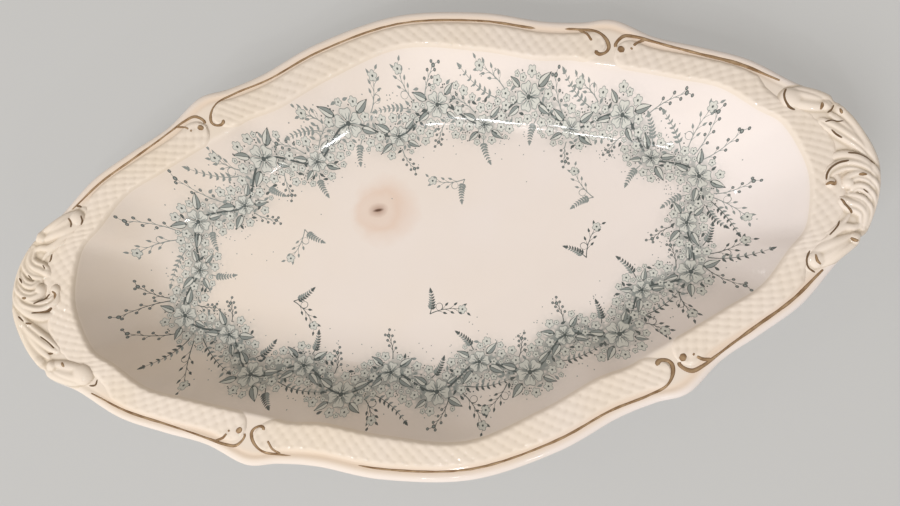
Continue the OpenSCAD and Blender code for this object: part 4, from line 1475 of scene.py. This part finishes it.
    def draw_sprays(self):
        """Sprays standing out from the wreath, and shorter ones into the floor."""
        count = SPRAYS_TO_WAVE * self.size.waves
        for k in range(count):
            at, heading = self.spot((k + 0.25) / count)
            outward = heading - math.pi / 2
            for n, lean in enumerate(OUTER_LEANS):
                angle = outward + lean + self.draw.uniform(-OUTER_STRAY, OUTER_STRAY)
                start = at + SPRAY_FOOT * np.array([math.cos(angle), math.sin(angle)])
                bend = self.draw.choice((-SPRAY_BEND, SPRAY_BEND))
                kind = SPRAY_KINDS[(k + n) % len(SPRAY_KINDS)]
                self.spray(start, angle, self.draw.uniform(*OUTER_LENGTHS), bend, kind)
            inward = heading + math.pi / 2 + self.draw.uniform(-INNER_STRAY, INNER_STRAY)
            start = at + SPRAY_FOOT * np.array([math.cos(inward), math.sin(inward)])
            self.spray(start, inward, self.draw.uniform(*INNER_LENGTHS), SPRAY_BEND, SPRAY_KINDS[k % 2])

    def draw_sprigs(self):
        """A few loose sprigs on the floor inside the wreath."""
        reach = np.multiply(SPRIG_SHARES, (self.size.half_l, self.size.half_w))
        for turn in SPRIG_TURNS:
            at = reach * (math.cos(turn), math.sin(turn))
            for lean, length, bend, kind in SPRIG_SPRAYS:
                self.spray(at, turn + SPRIG_LEAN + lean, length, bend, kind)

    def fill(self):
        """Florets, little leaves and dots scattered between the flowers."""
        for radius, tries in FILLERS:
            for _ in range(tries):
                at, heading = self.spot(self.draw.random())
                off = self.draw.uniform(-1, 1) * self.size.band
                at = at + off * np.array([math.sin(heading), -math.cos(heading)])
                if not (self.free(at, FILL_CLEAR * radius) and self.fits(at)):
                    continue
                angle = self.draw.uniform(0, FULL_TURN)
                if radius > FLORET_LEAST:
                    self.floret(at, radius, angle)
                elif radius > LEAF_LEAST:
                    ink = self.draw.choice(("dark", "middle"))
                    self.small_leaf(ink, turned([(-FILL_LEAF / 2, 0)], at, angle)[0], FILL_LEAF, angle)
                else:
                    self.films.plate("dark", turned(scalloped(1, 0, 6), at, angle, FILL_DOT), 0)
                self.take((*at, radius))

    def stipple(self):
        """Engraver's dots that thin out away from the wreath."""
        for _ in range(STIPPLE_TRIES):
            at, heading = self.spot(self.draw.random())
            off = self.draw.gauss(0, 1) * self.size.band
            at = at + off * np.array([math.sin(heading), -math.cos(heading)])
            if self.free(at, STIPPLE_CLEAR) and self.fits(at):
                self.films.plate("middle", turned(scalloped(1, 0, 5), at, 0, STIPPLE_DOT), 0)


class UNDERPLATE_OT_print(Operator):
    """Makes the printed wreath, one piece for each tone of ink"""

    bl_idname = "underplate.print"
    bl_label = "Printed wreath"

    def execute(self, context):
        films = InkFilms(surface_tree("glazed_dish"))
        wreath = Wreath(films, Millimetres(settings().wreath), BODY_HIGH.z / MM - PRINT_CLEAR)
        wreath.draw_stem()
        wreath.draw_flowers()
        wreath.draw_sprays()
        wreath.draw_sprigs()
        wreath.fill()
        wreath.stipple()
        finish = settings().finish
        for ink, colour in (("dark", finish.ink_dark), ("middle", finish.ink_mid), ("pale", finish.ink_pale)):
            material = transfer_ink(f"transfer_print_{ink}_ink", colour)
            place(films.build(f"printed_wreath_{ink}", ink, material), "glazed_earthenware")
        return {"FINISHED"}


def painted_board():
    """Board painted dead flat: one pale tone out to the horizon, on which the dish's shadow still falls."""
    finish = settings().finish
    material, tree = new_material("painted_board")
    matt = add_node(tree, "ShaderNodeBsdfPrincipled", {"Base Color": finish.table, "Roughness": 0.6})
    even = add_node(tree, "ShaderNodeEmission", {"Color": finish.backdrop})
    both = add_node(tree, "ShaderNodeMixShader", {0: seen(tree, BOARD_EVEN), 1: matt, 2: even})
    add_node(tree, "ShaderNodeOutputMaterial", {"Surface": both})
    return material


def seen(tree, share):
    """A share for what the camera sees straight or mirrored, and 0 for light on its way."""
    rays = add_node(tree, "ShaderNodeLightPath").outputs
    either = {0: rays["Is Camera Ray"], 1: rays["Is Glossy Ray"]}
    straight = add_node(tree, "ShaderNodeMath", either, operation="MAXIMUM")
    return add_node(tree, "ShaderNodeMath", {0: straight, 1: share}, operation="MULTIPLY")


class UNDERPLATE_OT_stage(Operator):
    """Sets the plain table, the soft lamps and the camera"""

    bl_idname = "underplate.stage"
    bl_label = "Stage"

    def execute(self, context):
        scene = context.scene
        scene.view_settings.view_transform = "Standard"
        self.lay_table(scene)
        self.light(scene)
        self.aim_camera(scene)
        return {"FINISHED"}

    @staticmethod
    def lay_table(scene):
        """A wide plain floor that the foot stands on."""
        far = TABLE_REACH
        mesh = bpy.data.meshes.new("table")
        corners = [(-far, -far, 0), (far, -far, 0), (far, far, 0), (-far, far, 0)]
        mesh.from_pydata(corners, [], [(0, 1, 2, 3)])
        mesh.materials.append(painted_board())
        table = bpy.data.objects.new("table", mesh)
        scene.collection.objects.link(table)

    @staticmethod
    def light(scene):
        """Even light from all round, two broad lamps, and four small windows that make the glints."""
        world = bpy.data.worlds.new("studio")
        world.use_nodes = True
        tree = world.node_tree
        tree.nodes.clear()
        glow = {"Color": linear(FILL_LIGHT), "Strength": FILL_STRENGTH}
        fill = add_node(tree, "ShaderNodeBackground", glow)
        plain = add_node(tree, "ShaderNodeBackground", {"Color": settings().finish.backdrop})
        both = add_node(tree, "ShaderNodeMixShader", {0: seen(tree, 1), 1: fill, 2: plain})
        add_node(tree, "ShaderNodeOutputWorld", {"Surface": both})
        scene.world = world
        for name, watts, size, way, mirrored in LAMPS:
            lamp = bpy.data.lights.new(name, "AREA")
            lamp.energy, lamp.size = watts, size
            lamp.color = linear(LAMP_LIGHT)[:3]
            stand = bpy.data.objects.new(name, lamp)
            stand.visible_glossy = mirrored
            stand.location = Vector(way).normalized() * LAMP_DISTANCE
            stand.rotation_euler = stand.location.to_track_quat("Z", "Y").to_euler()
            scene.collection.objects.link(stand)

    @staticmethod
    def aim_camera(scene):
        """The photograph's camera."""
        place_at, aim = Vector(CAMERA_PLACE) * MM, Vector(CAMERA_AIM) * MM
        back = (place_at - aim).normalized()
        right = Vector(CAMERA_UP).cross(back).normalized()
        turn = Matrix((right, back.cross(right), back)).transposed().to_4x4()
        data = bpy.data.cameras.new("photo_camera")
        data.lens, data.sensor_width, data.clip_start = LENS, SENSOR, CLIP_START
        camera = bpy.data.objects.new("photo_camera", data)
        camera.matrix_world = Matrix.Translation(place_at) @ turn
        scene.collection.objects.link(camera)
        scene.camera = camera


class UNDERPLATE_PT_panel(Panel):
    """Lists the underplate's pieces and settings"""

    bl_label = "Underplate"
    bl_idname = "UNDERPLATE_PT_panel"
    bl_space_type = "VIEW_3D"
    bl_region_type = "UI"
    bl_category = "Underplate"

    def draw(self, context):
        layout = self.layout
        for operator in OPERATORS:
            layout.operator(operator.bl_idname)
        for group in (settings().shape, settings().relief, settings().wreath, settings().finish):
            column = layout.column()
            for name in group.__annotations__:
                column.prop(group, name)


OPERATORS = (
    UNDERPLATE_OT_dish, UNDERPLATE_OT_foot, UNDERPLATE_OT_panels, UNDERPLATE_OT_scrolls,
    UNDERPLATE_OT_gilding, UNDERPLATE_OT_print, UNDERPLATE_OT_stage,
)
CLASSES = (
    UnderplateShape, UnderplateRelief, UnderplateWreath, UnderplateFinish, UnderplateSettings,
    *OPERATORS, UNDERPLATE_PT_panel,
)


def register():
    """Registers the classes and the scene's settings."""
    for cls in CLASSES:
        bpy.utils.register_class(cls)
    bpy.types.Scene.underplate = PointerProperty(type=UnderplateSettings)


def unregister():
    """Takes the settings and the classes away again."""
    del bpy.types.Scene.underplate
    for cls in reversed(CLASSES):
        bpy.utils.unregister_class(cls)


def main():
    """Builds every piece in order."""
    register()
    bpy.ops.underplate.dish()
    bpy.ops.underplate.foot()
    bpy.ops.underplate.panels()
    bpy.ops.underplate.scrolls()
    bpy.ops.underplate.gilding()
    bpy.ops.underplate.print()
    bpy.ops.underplate.stage()


if __name__ == "__main__":
    main()
